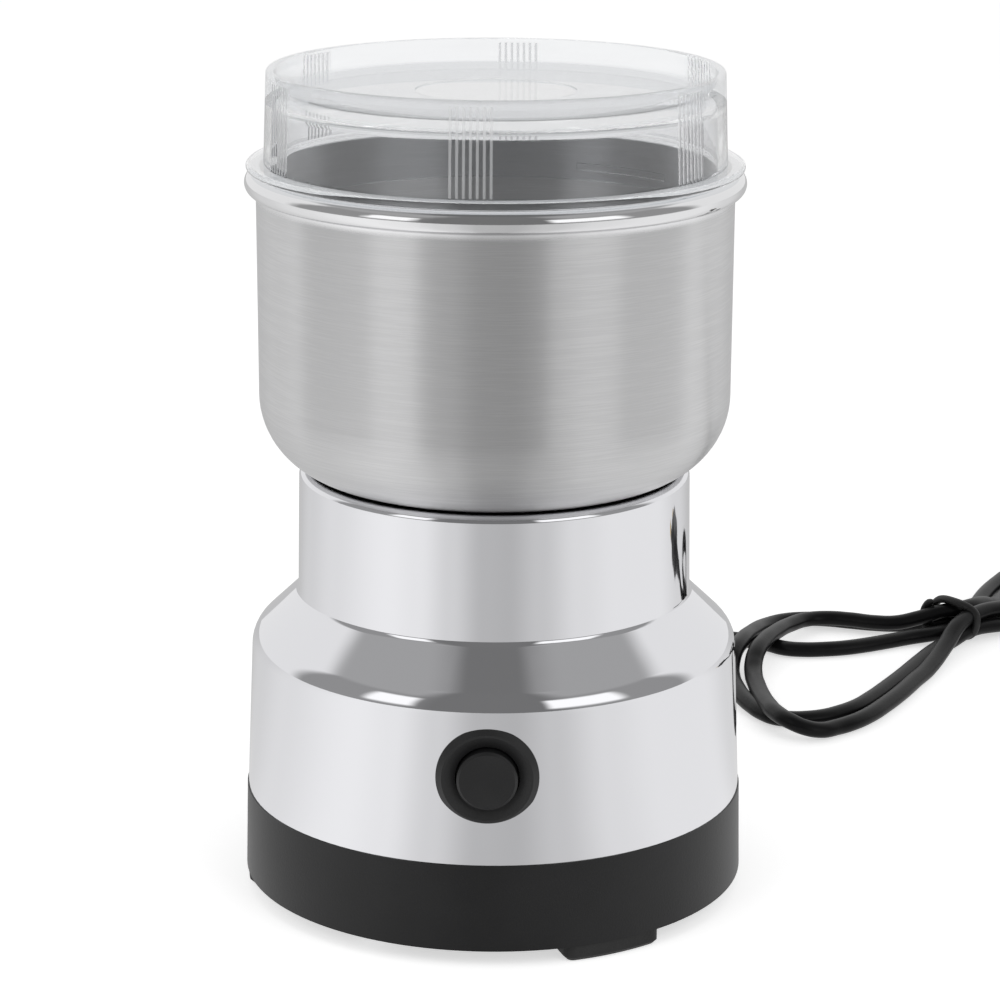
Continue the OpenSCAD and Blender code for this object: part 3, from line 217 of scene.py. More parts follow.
# ---------------------------------------------------------------- mains cord
# Black PVC two-core cord, an oval 4.4 mm wide and 3.6 mm high that lies flat, about a metre
# long. It leaves the back of the base, lies on the table and is folded into two double loops
# held by one tie, with a short tail. The route is in millimetres.
cord_thick, cord_wide, cord_high, cord_corners = 0.0042, 0.0044, 0.0036, 32
cord_route = [
    (0, 71, 12), (0, 77, 11.9), (0, 84, 11), (1, 92, 7.5), (3, 101, 3.6),
    (6, 111, 2.2), (12, 125, 1.9), (21, 137, 1.9), (31, 145.5, 1.9), (42, 149.5, 1.9),
    (50, 149.2, 2), (57.5, 148.4, 1.9), (63.8, 145.4, 1.9), (68.3, 141.9, 1.9), (72.9, 141, 1.9),
    (77.8, 141.5, 1.9), (83, 142.8, 1.9), (88.4, 145.2, 1.9), (94.1, 148.4, 1.9), (99.3, 151.2, 2),
    (108, 153.6, 2.8), (115.6, 159.4, 3.4), (123.3, 165.7, 2.6), (131.6, 171.3, 1.9), (140.7, 175.3, 1.9),
    (151.9, 179.7, 1.9), (159.8, 185.7, 1.9), (163.6, 194.8, 1.9), (161.1, 204.3, 1.9), (153.4, 210.4, 1.9),
    (143.6, 210.6, 1.9), (135.5, 204.9, 1.9), (130.9, 196.1, 1.9), (126.6, 185, 1.9), (123, 175.4, 3.4),
    (119, 167, 6.2), (113, 160, 7), (107.1, 158.9, 6.2), (102.4, 158.6, 4.8), (96.9, 158.1, 3.7),
    (91.5, 159.1, 3.4), (85.7, 161.2, 3.4), (80.3, 162.2, 3.4), (75.1, 160.7, 3.5), (70.2, 154.8, 3.9),
    (66.1, 145.8, 4.8), (62.7, 136.3, 5.4), (60.5, 129.2, 5), (59.6, 124.9, 3.6), (59.4, 120.2, 2.4),
    (59.7, 112.4, 2.4), (60.3, 103, 3), (61.3, 93.9, 3.8), (63, 85.9, 4.4), (65.6, 81.4, 4.2),
    (68.7, 80.2, 3.2), (72.4, 80.9, 2.3), (76.5, 84.1, 1.9), (80.5, 87.6, 1.9), (84.6, 92.8, 1.9),
    (88.7, 99.8, 1.9), (93, 108.1, 1.9), (97.4, 117.8, 1.9), (101.7, 127, 2), (107.6, 141.2, 3.8),
    (111.6, 149.6, 6.2), (117, 156.6, 7), (122.9, 162, 6.6), (131.2, 167.3, 5.1), (140.4, 170.5, 2.8),
    (149.8, 173.6, 1.9), (158.9, 177.8, 1.9), (166.6, 184.1, 1.9), (171.5, 192.8, 1.9), (171.8, 204.6, 1.9),
    (166.7, 213.1, 1.9), (158.1, 218, 1.9), (148.2, 218.3, 1.9), (139, 214.4, 1.9), (131.9, 207.4, 1.9),
    (127.1, 198.7, 1.9), (122.9, 189.1, 1.9), (119, 177.4, 1.9), (116.2, 168, 2.9), (111.2, 161.6, 3.4),
    (104.6, 161.8, 2.8), (97.9, 162.2, 1.9), (91.9, 162.6, 1.9), (86, 164.2, 1.9), (80.6, 165.8, 1.9),
    (75, 166.1, 1.9), (69.9, 164.8, 1.9), (65.1, 160.2, 2.2), (60.5, 148.8, 3.8), (56.9, 135.3, 5.4),
    (54.9, 128.7, 4.6), (54.2, 125.3, 2.8), (54.1, 119.6, 1.9), (54.8, 111.8, 1.9), (56.2, 104.2, 1.9),
    (58.1, 98.2, 1.9), (60.4, 93.3, 1.9), (63.2, 90.2, 1.9), (66.6, 89.4, 1.9), (70.3, 89.8, 1.9),
    (74.1, 91.2, 1.9), (78, 94.1, 1.9), (82.1, 98.3, 1.9), (86.3, 104.8, 1.9), (90.8, 113.1, 1.9),
    (95.5, 122.4, 1.9), (100.4, 132.7, 1.9), (104.7, 141.2, 1.9), (109.4, 147.6, 2.4), (114.6, 153.4, 3.4),
    (121.3, 158.4, 3.2), (129.5, 163.6, 1.9), (139.5, 163.2, 1.9), (146, 160.5, 1.9), (154, 156, 2.6),
    (162, 152.5, 4.4), (168, 151.1, 6.2), (172, 151, 6.8),
]


def new_effect(name, inputs, outputs):
    """An empty node group with named sockets, what it is given and what it makes. A socket
    whose value has four parts is a colour."""
    group = bpy.data.node_groups.new(name, "ShaderNodeTree")
    for label, value in inputs.items():
        kind = "NodeSocketColor" if isinstance(value, tuple) else "NodeSocketFloat"
        group.interface.new_socket(label, in_out="INPUT", socket_type=kind).default_value = value
    for label in outputs:
        kind = {"Color": "NodeSocketColor", "Normal": "NodeSocketVector"}.get(label, "NodeSocketFloat")
        group.interface.new_socket(label, in_out="OUTPUT", socket_type=kind)
    return group, group.nodes.new("NodeGroupInput").outputs, group.nodes.new("NodeGroupOutput").inputs


def noise(tree, place, scale, detail):
    node = tree.nodes.new("ShaderNodeTexNoise")
    tree.links.new(place, node.inputs["Vector"])
    feed(tree, node.inputs["Scale"], scale)
    node.inputs["Detail"].default_value = detail
    return node.outputs["Fac"]


def tinted(tree, share, plain, tint):
    node = tree.nodes.new("ShaderNodeMix")
    node.data_type = "RGBA"
    for socket, value in ((0, share), (6, plain), (7, tint)):
        tree.links.new(value, node.inputs[socket])
    return node.outputs[2]


def moulded_grain():
    """Fine moulding grain with slow changes of gloss, and dust that lightens it a little."""
    group, given, made = new_effect("moulded grain", {
        "Roughness": 0.4, "Grain per Metre": 3000.0, "Cloudiness": 0.08, "Dust": 0.02,
        "Color": (0.01, 0.01, 0.01, 1), "Dust Color": (0.5, 0.5, 0.5, 1)}, ("Color", "Roughness", "Height"))
    place = group.nodes.new("ShaderNodeTexCoord").outputs["Object"]
    cloud = noise(group, place, scale=55, detail=4)
    uneven = calc(group, "MULTIPLY", calc(group, "SUBTRACT", cloud, 0.5), given["Cloudiness"])
    group.links.new(calc(group, "ADD", given["Roughness"], uneven), made["Roughness"])
    group.links.new(noise(group, place, scale=given["Grain per Metre"], detail=2), made["Height"])
    dusty = calc(group, "MULTIPLY", rising(group, cloud, 0.35, 0.75), given["Dust"])
    group.links.new(tinted(group, dusty, given["Color"], given["Dust Color"]), made["Color"])
    return group


def surface(name, effect, values, bump, **plain):
    """A Principled material whose colour, roughness and bump come from one effect group.
    values are the group's inputs, bump is the height of its relief in metres, and plain
    holds the sockets that are the same all over."""
    made = bpy.data.materials.new(name)
    made.use_nodes = True
    nodes, links = made.node_tree.nodes, made.node_tree.links
    shader = nodes["Principled BSDF"]
    for label, value in plain.items():
        shader.inputs[label.replace("_", " ")].default_value = value
    pattern = nodes.new("ShaderNodeGroup")
    pattern.node_tree = effect
    for label, value in values.items():
        pattern.inputs[label].default_value = value
    if "Color" in pattern.outputs:
        links.new(pattern.outputs["Color"], shader.inputs["Base Color"])
    links.new(pattern.outputs["Roughness"], shader.inputs["Roughness"])
    relief = nodes.new("ShaderNodeBump")
    relief.inputs["Distance"].default_value = bump
    links.new(pattern.outputs["Height"], relief.inputs["Height"])
    links.new(relief.outputs["Normal"], shader.inputs["Normal"])
    return made


grain = moulded_grain()
pvc = surface("black PVC", grain, {"Color": (0.005, 0.005, 0.0054, 1), "Roughness": 0.33,
                                   "Grain per Metre": 1400, "Dust": 0.008}, bump=0.00002, IOR=1.26)

line = bpy.data.curves.new("mains_cord", "CURVE")
line.dimensions = "3D"
section = bpy.data.curves.new("cord_section", "CURVE")
outline = section.splines.new("POLY")
outline.points.add(cord_corners - 1)
for k, corner in enumerate(outline.points):
    turn = 2 * math.pi * k / cord_corners
    corner.co = (cord_wide / 2 * math.cos(turn), cord_high / 2 * math.sin(turn), 0, 1)
outline.use_cyclic_u = True
line.bevel_mode, line.bevel_object = "OBJECT", bpy.data.objects.new("cord_section", section)
line.twist_mode, line.resolution_u, line.use_fill_caps = "Z_UP", 10, True
spline = line.splines.new("BEZIER")
spline.bezier_points.add(len(cord_route) - 1)
for knot, place in zip(spline.bezier_points, cord_route):
    knot.co = [along / 1000 for along in place]
    knot.handle_left_type = knot.handle_right_type = "AUTO"
mains_cord = bpy.data.objects.new("mains_cord", line)
bpy.context.scene.collection.objects.link(mains_cord)
line.materials.append(pvc)
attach(mains_cord, "housing")
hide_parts("cord_lead", "cord_hank", "cord_tail")

# ---------------------------------------------------------------- strain relief
# A soft black boot moulded on the cord and snapped into the base wall. Five ribs get thinner
# towards its end, so that the cord can't be bent sharply where it leaves.
relief_height, relief_start, relief_end = 0.012, 0.0503, 0.0762
relief_root_r, relief_tip_r, relief_flange_r, relief_neck_r = 0.00495, 0.00305, 0.0060, 0.0041
relief_neck, relief_flange, relief_edge = 0.0035, 0.0016, 0.0004
relief_grooves, relief_groove_depth, relief_groove_power = 6, 0.0011, 0.35
relief_fade_in, relief_shallower, relief_plain_from = 1 / 12, 0.45, 0.985
relief_steps = 120


def turned(name, profile, place, steps=72):
    """A turned piece: profile is a list of (distance along the axis, radius), and place turns
    its +Z axis into the row frame. Both ends are closed."""
    points, faces = [], []
    for along, radius in profile:
        points += [place @ Vector((radius * math.cos(2 * math.pi * k / steps),
                                   radius * math.sin(2 * math.pi * k / steps), along))
                   for k in range(steps)]
    for ring in range(len(profile) - 1):
        for k in range(steps):
            a, b = ring * steps + k, ring * steps + (k + 1) % steps
            faces.append((a, b, b + steps, a + steps))
    faces += [tuple(reversed(range(steps))), tuple(range(len(points) - steps, len(points)))]
    mesh = bpy.data.meshes.new(name)
    mesh.from_pydata(points, [], faces)
    for face in mesh.polygons[:-2]:
        face.use_smooth = True
    mesh.set_sharp_from_angle(angle=math.radians(38))
    made = bpy.data.objects.new(name, mesh)
    bpy.context.scene.collection.objects.link(made)
    return made


def wave(count, share):
    """Between 0 and 1, with count crests over a share from 0 to 1."""
    return 0.5 - 0.5 * math.cos(2 * math.pi * count * share)


profile = [(-relief_neck, relief_neck_r), (0.0, relief_neck_r), (0.0, relief_flange_r - relief_edge),
           (relief_edge, relief_flange_r), (relief_flange - relief_edge, relief_flange_r),
           (relief_flange, relief_flange_r - relief_edge)]
length = relief_end - relief_start - relief_flange
for i in range(relief_steps + 1):
    share = i / relief_steps
    taper = relief_root_r + (relief_tip_r - relief_root_r) * share
    depth = relief_groove_depth * (1 - relief_shallower * share) * min(1, share / relief_fade_in)
    groove = depth * wave(relief_grooves, share) ** relief_groove_power * (share < relief_plain_from)
    profile.append((relief_flange + length * share, taper - groove))
relief = turned("strain_relief_boot", profile,
                Matrix.Translation((0, relief_start, relief_height)) @ Matrix.Rotation(-math.pi / 2, 4, "X"))
relief.data.materials.append(pvc)
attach(relief, "housing")
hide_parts("strain_relief")

# ---------------------------------------------------------------- cord tie
# A thick coated wire wound around the five runs of cord: one full turn, and beside it a part
# turn that starts in front, passes under them and ends behind, just above the runs.
tie_at, tie_turn = Vector((0.1113, 0.1576, 0)), math.radians(40)
tie_half_width, tie_low, tie_high, tie_squareness, tie_sway = 0.0074, 0.0011, 0.0096, 2.5, 0.0004
tie_wide, tie_thick = 0.0011, 0.0010
tie_rings, second_turn_rings, look_ahead = 96, 61, 0.02
second_turn_aside, second_turn_slant = -0.0036, 0.15
second_turn_from, second_turn_to = math.radians(-165), math.radians(58)
end_rounding, end_size = 1 / 12, 0.02
tie_frame = Matrix.Translation(tie_at) @ Matrix.Rotation(tie_turn, 4, "Z")
bundle_middle = Vector((0, 0, (tie_high + tie_low) / 2))


def swept(name, path, sections, closed=False):
    """A mesh through rings of points: path gives each ring's matrix, sections its outline."""
    points, faces = [], []
    count = len(sections[0])
    for place, section in zip(path, sections):
        points += [place @ Vector((x, y, 0)) for x, y in section]
    rings = len(path)
    for ring in range(rings if closed else rings - 1):
        for k in range(count):
            a, b = ring * count + k, ring * count + (k + 1) % count
            c = ((ring + 1) % rings) * count
            faces.append((a, b, c + (k + 1) % count, c + k))
    if not closed:
        faces += [tuple(reversed(range(count))), tuple(range(len(points) - count, len(points)))]
    mesh = bpy.data.meshes.new(name)
    mesh.from_pydata(points, [], faces)
    mesh.polygons.foreach_set("use_smooth", [True] * len(mesh.polygons))
    mesh.set_sharp_from_angle(angle=math.radians(50))
    made = bpy.data.objects.new(name, mesh)
    bpy.context.scene.collection.objects.link(made)
    return made


def facing(place, direction, up):
    """A matrix at place whose Z axis runs along direction and whose X axis is nearest to up."""
    z = direction.normalized()
    y = z.cross(up).normalized()
    return Matrix.Translation(place) @ Matrix((y.cross(z), y, z)).transposed().to_4x4()


def squared(value, squareness):
    """A sine or cosine, changed to draw a rounded rectangle. Squareness 2 draws a circle."""
    return math.copysign(abs(value) ** (2 / squareness), value)


def around_bundle(turn):
    """A point of the tie's centre line: a rounded rectangle around the bundle of runs."""
    across = tie_half_width * squared(math.cos(turn), tie_squareness)
    up = (tie_high - tie_low) / 2 * squared(math.sin(turn), tie_squareness)
    return bundle_middle + Vector((tie_sway * math.sin(3 * turn), across, up))


def wire_ring(turn, aside):
    """The place of the wire's section at a turn, moved aside along the cord."""
    here, ahead, behind = (around_bundle(turn + step) for step in (0, look_ahead, -look_ahead))
    return tie_frame @ facing(here + Vector((aside, 0, 0)), ahead - behind, here - bundle_middle)


def oval(wide, thick, count=14):
    return [(thick * math.cos(2 * math.pi * k / count), wide * math.sin(2 * math.pi * k / count))
            for k in range(count)]


path = [wire_ring(2 * math.pi * k / tie_rings, 0) for k in range(tie_rings)]
tie_band = swept("cord_tie_band", path, [oval(tie_wide, tie_thick)] * tie_rings, closed=True)
tie_coat = surface("coated wire", grain, {"Color": (0.007, 0.007, 0.007, 1), "Roughness": 0.5,
                                          "Grain per Metre": 2500}, bump=0.00003)
tie_band.data.materials.append(tie_coat)
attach(tie_band, "housing")
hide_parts("cord_tie")

path, outline = [], []
for k in range(second_turn_rings):
    share = k / (second_turn_rings - 1)
    turn = second_turn_from + (second_turn_to - second_turn_from) * share
    path.append(wire_ring(turn, second_turn_aside * (1 - second_turn_slant * share)))
    rounding = math.sqrt(min(1, min(share, 1 - share) / end_rounding + end_size))
    outline.append(oval(tie_wide * rounding, tie_thick * rounding))
tie_turn_two = swept("cord_tie_second_turn", path, outline)
tie_turn_two.data.materials.append(tie_coat)
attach(tie_turn_two, "housing")

# ---------------------------------------------------------------- mains plug
# A flat two-pin plug moulded on the cord: hollow flanks for the fingers, a ribbed boot, and
# bright pins in black sleeves.
plug_y, plug_z, plug_boot, plug_back, plug_face = 0.151, 0.0068, 0.172, 0.192, 0.227
plug_half_w, plug_half_h, plug_entry_r, plug_neck_r = 0.013, 0.0068, 0.0029, 0.0046
plug_swell, plug_squareness, plug_edge, plug_corners = 0.012, 3.6, 0.001, 64
flank_from, flank_to, flank_hollow = plug_back + 0.011, plug_face - 0.002, 0.0011
boot_grooves, boot_groove_depth, flank_grooves, flank_groove_depth = 5, 0.0004, 6, 0.00028
boot_step, body_step, edge_steps = 0.0002, 0.0004, 8


def plug_outline(x):
    """Half width, half height and squareness of the plug's cross section at x."""
    if x < plug_back:
        share = (x - plug_boot) / (plug_back - plug_boot)
        groove = boot_groove_depth * wave(boot_grooves, share) * (0.04 < share < 0.96)
        r = plug_entry_r + (plug_neck_r - plug_entry_r) * share - groove
        return r, r, 2.0
    share = min(1, (x - plug_back) / plug_swell)
    swell = share * share * (3 - 2 * share)
    w = plug_neck_r + (plug_half_w - plug_neck_r) * swell
    h = plug_neck_r + (plug_half_h - plug_neck_r) * swell
    along = (x - flank_from) / (flank_to - flank_from)
    if 0 < along < 1:
        w -= flank_hollow * wave(1, along) + flank_groove_depth * wave(flank_grooves, along)
    edge = max(0, x - (plug_face - plug_edge)) / plug_edge
    round_off = plug_edge * (1 - math.sqrt(max(0, 1 - edge * edge)))
    return w - round_off, h - round_off, 2.0 + (plug_squareness - 2.0) * swell


path, outline = [], []
stations = [plug_boot + boot_step * k for k in range(round((plug_back - plug_boot) / boot_step))]
body = plug_face - plug_edge - plug_back
stations += [plug_back + body_step * k for k in range(round(body / body_step))]
stations += [plug_face - plug_edge * (1 - k / edge_steps) for k in range(edge_steps + 1)]
for x in stations:
    w, h, square = plug_outline(x)
    path.append(Matrix.Translation((x, plug_y, plug_z)) @ Matrix(
        ((0, 0, 1, 0), (1, 0, 0, 0), (0, 1, 0, 0), (0, 0, 0, 1))))
    outline.append([(w * squared(math.cos(turn), square), h * squared(math.sin(turn), square))
                    for turn in (2 * math.pi * k / plug_corners for k in range(plug_corners))])
plug = swept("plug_moulding", path, outline)
plug.data.materials.append(surface("plug PVC", grain, {
    "Color": (0.014, 0.014, 0.015, 1), "Roughness": 0.42, "Grain per Metre": 2200, "Dust": 0.015},
    bump=0.00003))
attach(plug, "housing")
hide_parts("plug_body")


def dress(node, material):
    """Puts a material on every slot of a CAD node."""
    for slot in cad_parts[node].material_slots:
        slot.material = material


def joined(tree, *parts):
    """A vector from its X, Y and Z."""
    node = tree.nodes.new("ShaderNodeCombineXYZ")
    for axis, value in zip(node.inputs, parts):
        feed(tree, axis, value)
    return node.outputs[0]


def metal_skin():
    """Worked metal: slow changes of colour and gloss, and fine relief stretched along one
    axis by Along, across it by Across (per metre)."""
    group, given, made = new_effect("metal skin", {
        "Roughness": 0.3, "Along": 300.0, "Across": 3000.0, "Unevenness": 0.1, "Tarnish": 0.2,
        "Color": (0.6, 0.6, 0.6, 1), "Tarnish Color": (0.4, 0.4, 0.4, 1)}, ("Color", "Roughness", "Height"))
    place = group.nodes.new("ShaderNodeTexCoord").outputs["Object"]
    stretched = group.nodes.new("ShaderNodeVectorMath")
    stretched.operation = "MULTIPLY"
    group.links.new(place, stretched.inputs[0])
    group.links.new(joined(group, given["Along"], given["Across"], given["Across"]), stretched.inputs[1])
    fine = noise(group, stretched.outputs[0], scale=1, detail=3)
    cloud = noise(group, place, scale=160, detail=3)
    both = calc(group, "MULTIPLY_ADD", fine, 0.5, calc(group, "MULTIPLY", cloud, 0.5))
    uneven = calc(group, "MULTIPLY", calc(group, "SUBTRACT", both, 0.5), given["Unevenness"])
    group.links.new(calc(group, "ADD", given["Roughness"], uneven), made["Roughness"])
    group.links.new(fine, made["Height"])
    dull = calc(group, "MULTIPLY", rising(group, cloud, 0.4, 0.7), given["Tarnish"])
    group.links.new(tinted(group, dull, given["Color"], given["Tarnish Color"]), made["Color"])
    return group


worked = metal_skin()
dress("plug_pins", surface("pin brass", worked, {
    "Color": (0.72, 0.55, 0.28, 1), "Tarnish Color": (0.5, 0.36, 0.17, 1), "Roughness": 0.24,
    "Along": 400, "Across": 5000}, bump=0.000008, Metallic=1.0))
dress("plug_sleeves", surface("sleeve nylon", grain, {"Color": (0.014, 0.014, 0.015, 1), "Roughness": 0.35},
                              bump=0.00001))

# ---------------------------------------------------------------- base and feet
# The base is one black ABS moulding with a satin skirt, a vented floor and screw bosses.
# Three rubber pads with pegs are pushed into its floor.
dress("base", surface("base ABS", grain, {"Color": (0.008, 0.008, 0.0086, 1), "Roughness": 0.40,
                                          "Grain per Metre": 2600, "Cloudiness": 0.10, "Dust": 0.01},
                      bump=0.00003, IOR=1.42))
foot_rubber = surface("foot rubber", grain, {"Color": (0.0075, 0.0075, 0.0075, 1), "Roughness": 0.62,
                                             "Grain per Metre": 1800, "Dust": 0.04}, bump=0.00006)
for foot in ("foot_front", "foot_back", "foot_left"):
    dress(foot, foot_rubber)
zinc = surface("screw zinc", worked, {
    "Color": (0.55, 0.56, 0.58, 1), "Tarnish Color": (0.38, 0.38, 0.36, 1), "Roughness": 0.34,
    "Along": 2500, "Across": 2500}, bump=0.00001, Metallic=1.0)
for screws in ("base_screws", "clamp_screws", "motor_screws"):
    dress(screws, zinc)

# ---------------------------------------------------------------- shell
# The bright shell is moulded in one piece and plated: a mirror with a trace of the ripple
# that plated mouldings have, and faint wiping marks.


def plated_mirror():
    """Slow ripples and faint wiping marks on a mirror."""
    group, given, made = new_effect("plated mirror", {
        "Roughness": 0.05, "Ripple per Metre": 60.0, "Wipe Marks": 0.03}, ("Roughness", "Height"))
    place = group.nodes.new("ShaderNodeTexCoord").outputs["Object"]
    squeezed = group.nodes.new("ShaderNodeMapping")
    squeezed.inputs["Scale"].default_value = (1, 1, 3)
    group.links.new(place, squeezed.inputs["Vector"])
    wiped = rising(group, noise(group, squeezed.outputs[0], scale=90, detail=5), 0.45, 0.8)
    group.links.new(calc(group, "MULTIPLY_ADD", wiped, given["Wipe Marks"], given["Roughness"]),
                    made["Roughness"])
    ripple = noise(group, place, scale=given["Ripple per Metre"], detail=1.5)
    group.links.new(ripple, made["Height"])
    return group


def off_axis(tree, x, y):
    return calc(tree, "SQRT", calc(tree, "ADD", calc(tree, "MULTIPLY", x, x), calc(tree, "MULTIPLY", y, y)))


def dot(tree, a, b):
    node = tree.nodes.new("ShaderNodeVectorMath")
    node.operation = "DOT_PRODUCT"
    tree.links.new(a, node.inputs[0])
    tree.links.new(b, node.inputs[1])
    return node.outputs["Value"]


def turned_normal():
    """The exact normal of the shell's outside, from its height. Rise is the normal's upward
    part: on the wall, over the shoulder's rounding, on the slope, through the hollow at the
    neck's foot, on the neck and over its rounded top edge. Other faces keep their own."""
    group, given, made = new_effect("turned normal", {
        "Wall Rise": 0.0415, "Slope Rise": 0.7254, "Neck Rise": 0.0172, "Shoulder Z": 0.04935,
        "Shoulder Radius": 0.006, "Foot Z": 0.061449, "Foot Radius": 0.0016, "Edge Z": 0.08395,
        "Edge Radius": 0.0015}, ("Normal",))
    x, y, z = axes_of(group, "Object")

    def above(level, radius):
        return calc(group, "DIVIDE", calc(group, "SUBTRACT", z, given[level]), given[radius])

    rise = calc(group, "MAXIMUM", above("Shoulder Z", "Shoulder Radius"), given["Wall Rise"])
    rise = calc(group, "MINIMUM", rise, given["Slope Rise"])
    foot = calc(group, "MULTIPLY", above("Foot Z", "Foot Radius"), -1)
    rise = calc(group, "MINIMUM", rise, calc(group, "MAXIMUM", foot, given["Neck Rise"]))
    rise = calc(group, "MAXIMUM", rise, calc(group, "MINIMUM", above("Edge Z", "Edge Radius"), 1.0))
    rest = calc(group, "SUBTRACT", 1.0, calc(group, "MULTIPLY", rise, rise))
    outward = calc(group, "SQRT", calc(group, "MAXIMUM", rest, 0.0))
    outward = calc(group, "DIVIDE", outward, off_axis(group, x, y))
    placed = group.nodes.new("ShaderNodeVectorTransform")
    placed.vector_type, placed.convert_from, placed.convert_to = "NORMAL", "OBJECT", "WORLD"
    exact = (calc(group, "MULTIPLY", x, outward), calc(group, "MULTIPLY", y, outward), rise)
    group.links.new(joined(group, *exact), placed.inputs[0])
    own = group.nodes.new("ShaderNodeNewGeometry").outputs["Normal"]
    pick = group.nodes.new("ShaderNodeMix")
    pick.data_type = "VECTOR"
    group.links.new(calc(group, "GREATER_THAN", dot(group, placed.outputs[0], own), 0.8), pick.inputs[0])
    group.links.new(own, pick.inputs[4])
    group.links.new(placed.outputs[0], pick.inputs[5])
    group.links.new(pick.outputs[1], made["Normal"])
    return group


mirror = plated_mirror()
plating = surface("bright plating", mirror, {"Roughness": 0.045, "Ripple per Metre": 70}, bump=0.00006,
                  Metallic=1.0, Base_Color=(0.86, 0.86, 0.885, 1))
nodes, links = plating.node_tree.nodes, plating.node_tree.links
smooth_turning = nodes.new("ShaderNodeGroup")
smooth_turning.node_tree = turned_normal()
links.new(smooth_turning.outputs["Normal"], nodes["Bump"].inputs["Normal"])
dress("shell", plating)

# ---------------------------------------------------------------- push-button switch
# A black panel switch: a bezel with a chamfered edge and a dished face, drawn against the
# shell by a nut from inside, and a plain round cap.
switch_black = surface("switch nylon", grain, {"Color": (0.0135, 0.0135, 0.014, 1), "Roughness": 0.47,
                                               "Grain per Metre": 3800, "Cloudiness": 0.06, "Dust": 0.015},
                       bump=0.000025)
dress("switch_bezel", switch_black)
dress("push_button", surface("button nylon", grain, {"Color": (0.0085, 0.0085, 0.009, 1), "Roughness": 0.43,
                                                     "Grain per Metre": 4200, "Dust": 0.02}, bump=0.00002))
dress("switch_nut", surface("nut nylon", grain, {"Color": (0.03, 0.03, 0.032, 1), "Roughness": 0.5},
                            bump=0.00003))
dress("contact_block", surface("contact block resin", grain, {
    "Color": (0.045, 0.032, 0.024, 1), "Roughness": 0.5, "Grain per Metre": 1500, "Dust": 0.1,
    "Dust Color": (0.2, 0.15, 0.1, 1)}, bump=0.00004))
brass = surface("contact brass", worked, {
    "Color": (0.60, 0.44, 0.17, 1), "Tarnish Color": (0.34, 0.24, 0.10, 1), "Roughness": 0.3,
    "Along": 800, "Across": 4000}, bump=0.00001, Metallic=1.0)
for contact in ("switch_terminals", "contact_bridge", "brush_holders"):
    dress(contact, brass)
spring_wire = surface("spring wire", worked, {
    "Color": (0.58, 0.59, 0.60, 1), "Tarnish Color": (0.4, 0.4, 0.4, 1), "Roughness": 0.25}, bump=0.000005,
    Metallic=1.0)
dress("button_spring", spring_wire)
dress("brush_springs", spring_wire)
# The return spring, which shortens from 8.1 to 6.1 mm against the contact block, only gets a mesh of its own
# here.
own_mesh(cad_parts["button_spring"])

# ---------------------------------------------------------------- motor
# A small brushed motor hangs under the deck: cast brackets, a stack of iron plates with two
# coils, an armature with a copper commutator, bronze bushes, carbon brushes and a fan.
cast = surface("cast aluminium", worked, {
    "Color": (0.56, 0.57, 0.58, 1), "Tarnish Color": (0.4, 0.4, 0.41, 1), "Roughness": 0.48,
    "Along": 1600, "Across": 1600, "Unevenness": 0.25}, bump=0.00006, Metallic=1.0)
dress("upper_bracket", cast)
dress("lower_bracket", cast)
bronze = surface("sintered bronze", worked, {
    "Color": (0.42, 0.26, 0.12, 1), "Tarnish Color": (0.25, 0.15, 0.08, 1), "Roughness": 0.5,
    "Along": 5000, "Across": 5000, "Tarnish": 0.5}, bump=0.00003, Metallic=1.0)
dress("upper_bush", bronze)
dress("lower_bush", bronze)


def stacked_layers():
    """Thin layers one on another along Z: sheet-iron plates, or turns of wire."""
    group, given, made = new_effect("stacked layers", {
        "Roughness": 0.4, "Layers per Metre": 2000.0, "Depth of Shade": 0.5, "Color": (0.4, 0.4, 0.4, 1),
        "Gap Color": (0.05, 0.05, 0.05, 1)}, ("Color", "Roughness", "Height"))
    turns = calc(group, "MULTIPLY", axes_of(group, "Object")["Z"], math.pi)
    turns = calc(group, "MULTIPLY", turns, given["Layers per Metre"])
    crest = calc(group, "ABSOLUTE", calc(group, "SINE", turns))
    group.links.new(crest, made["Height"])
    group.links.new(calc(group, "SUBTRACT", given["Roughness"], calc(group, "MULTIPLY", crest, 0.08)),
                    made["Roughness"])
    # Painted shade: the colour darkens in the grooves between layers, partly the real dark joints between
    # plates.
    gap_and_shade = calc(group, "SUBTRACT", 1.0, rising(group, crest, 0.0, 0.55))
    group.links.new(tinted(group, calc(group, "MULTIPLY", gap_and_shade, given["Depth of Shade"]), given["Color"],
                           given["Gap Color"]), made["Color"])
    return group


layers = stacked_layers()
iron = surface("iron plates", layers, {
    "Color": (0.22, 0.225, 0.235, 1), "Gap Color": (0.03, 0.03, 0.035, 1), "Roughness": 0.45,
    "Layers per Metre": 2000}, bump=0.00008, Metallic=1.0)
dress("stator_core", iron)
dress("armature_core", iron)
enamel_wire = surface("enamelled wire", layers, {
    "Color": (0.48, 0.16, 0.055, 1), "Gap Color": (0.10, 0.025, 0.01, 1), "Roughness": 0.33,
    "Layers per Metre": 2400, "Depth of Shade": 0.85}, bump=0.00015, Metallic=0.7, Coat_Weight=0.6,
    Coat_Roughness=0.15)
dress("field_coils", enamel_wire)
dress("armature_windings", enamel_wire)
dress("commutator", surface("turned copper", layers, {
    "Color": (0.58, 0.30, 0.18, 1), "Gap Color": (0.30, 0.13, 0.08, 1), "Roughness": 0.26,
    "Layers per Metre": 5000, "Depth of Shade": 0.35}, bump=0.00002, Metallic=1.0))
dress("carbon_brushes", surface("carbon", grain, {"Color": (0.022, 0.022, 0.023, 1), "Roughness": 0.55,
                                                  "Grain per Metre": 6000}, bump=0.00005))
ground = surface("ground steel", layers, {
    "Color": (0.62, 0.62, 0.63, 1), "Gap Color": (0.5, 0.5, 0.51, 1), "Roughness": 0.22,
    "Layers per Metre": 6500, "Depth of Shade": 0.4}, bump=0.00001, Metallic=1.0)
dress("motor_shaft", ground)
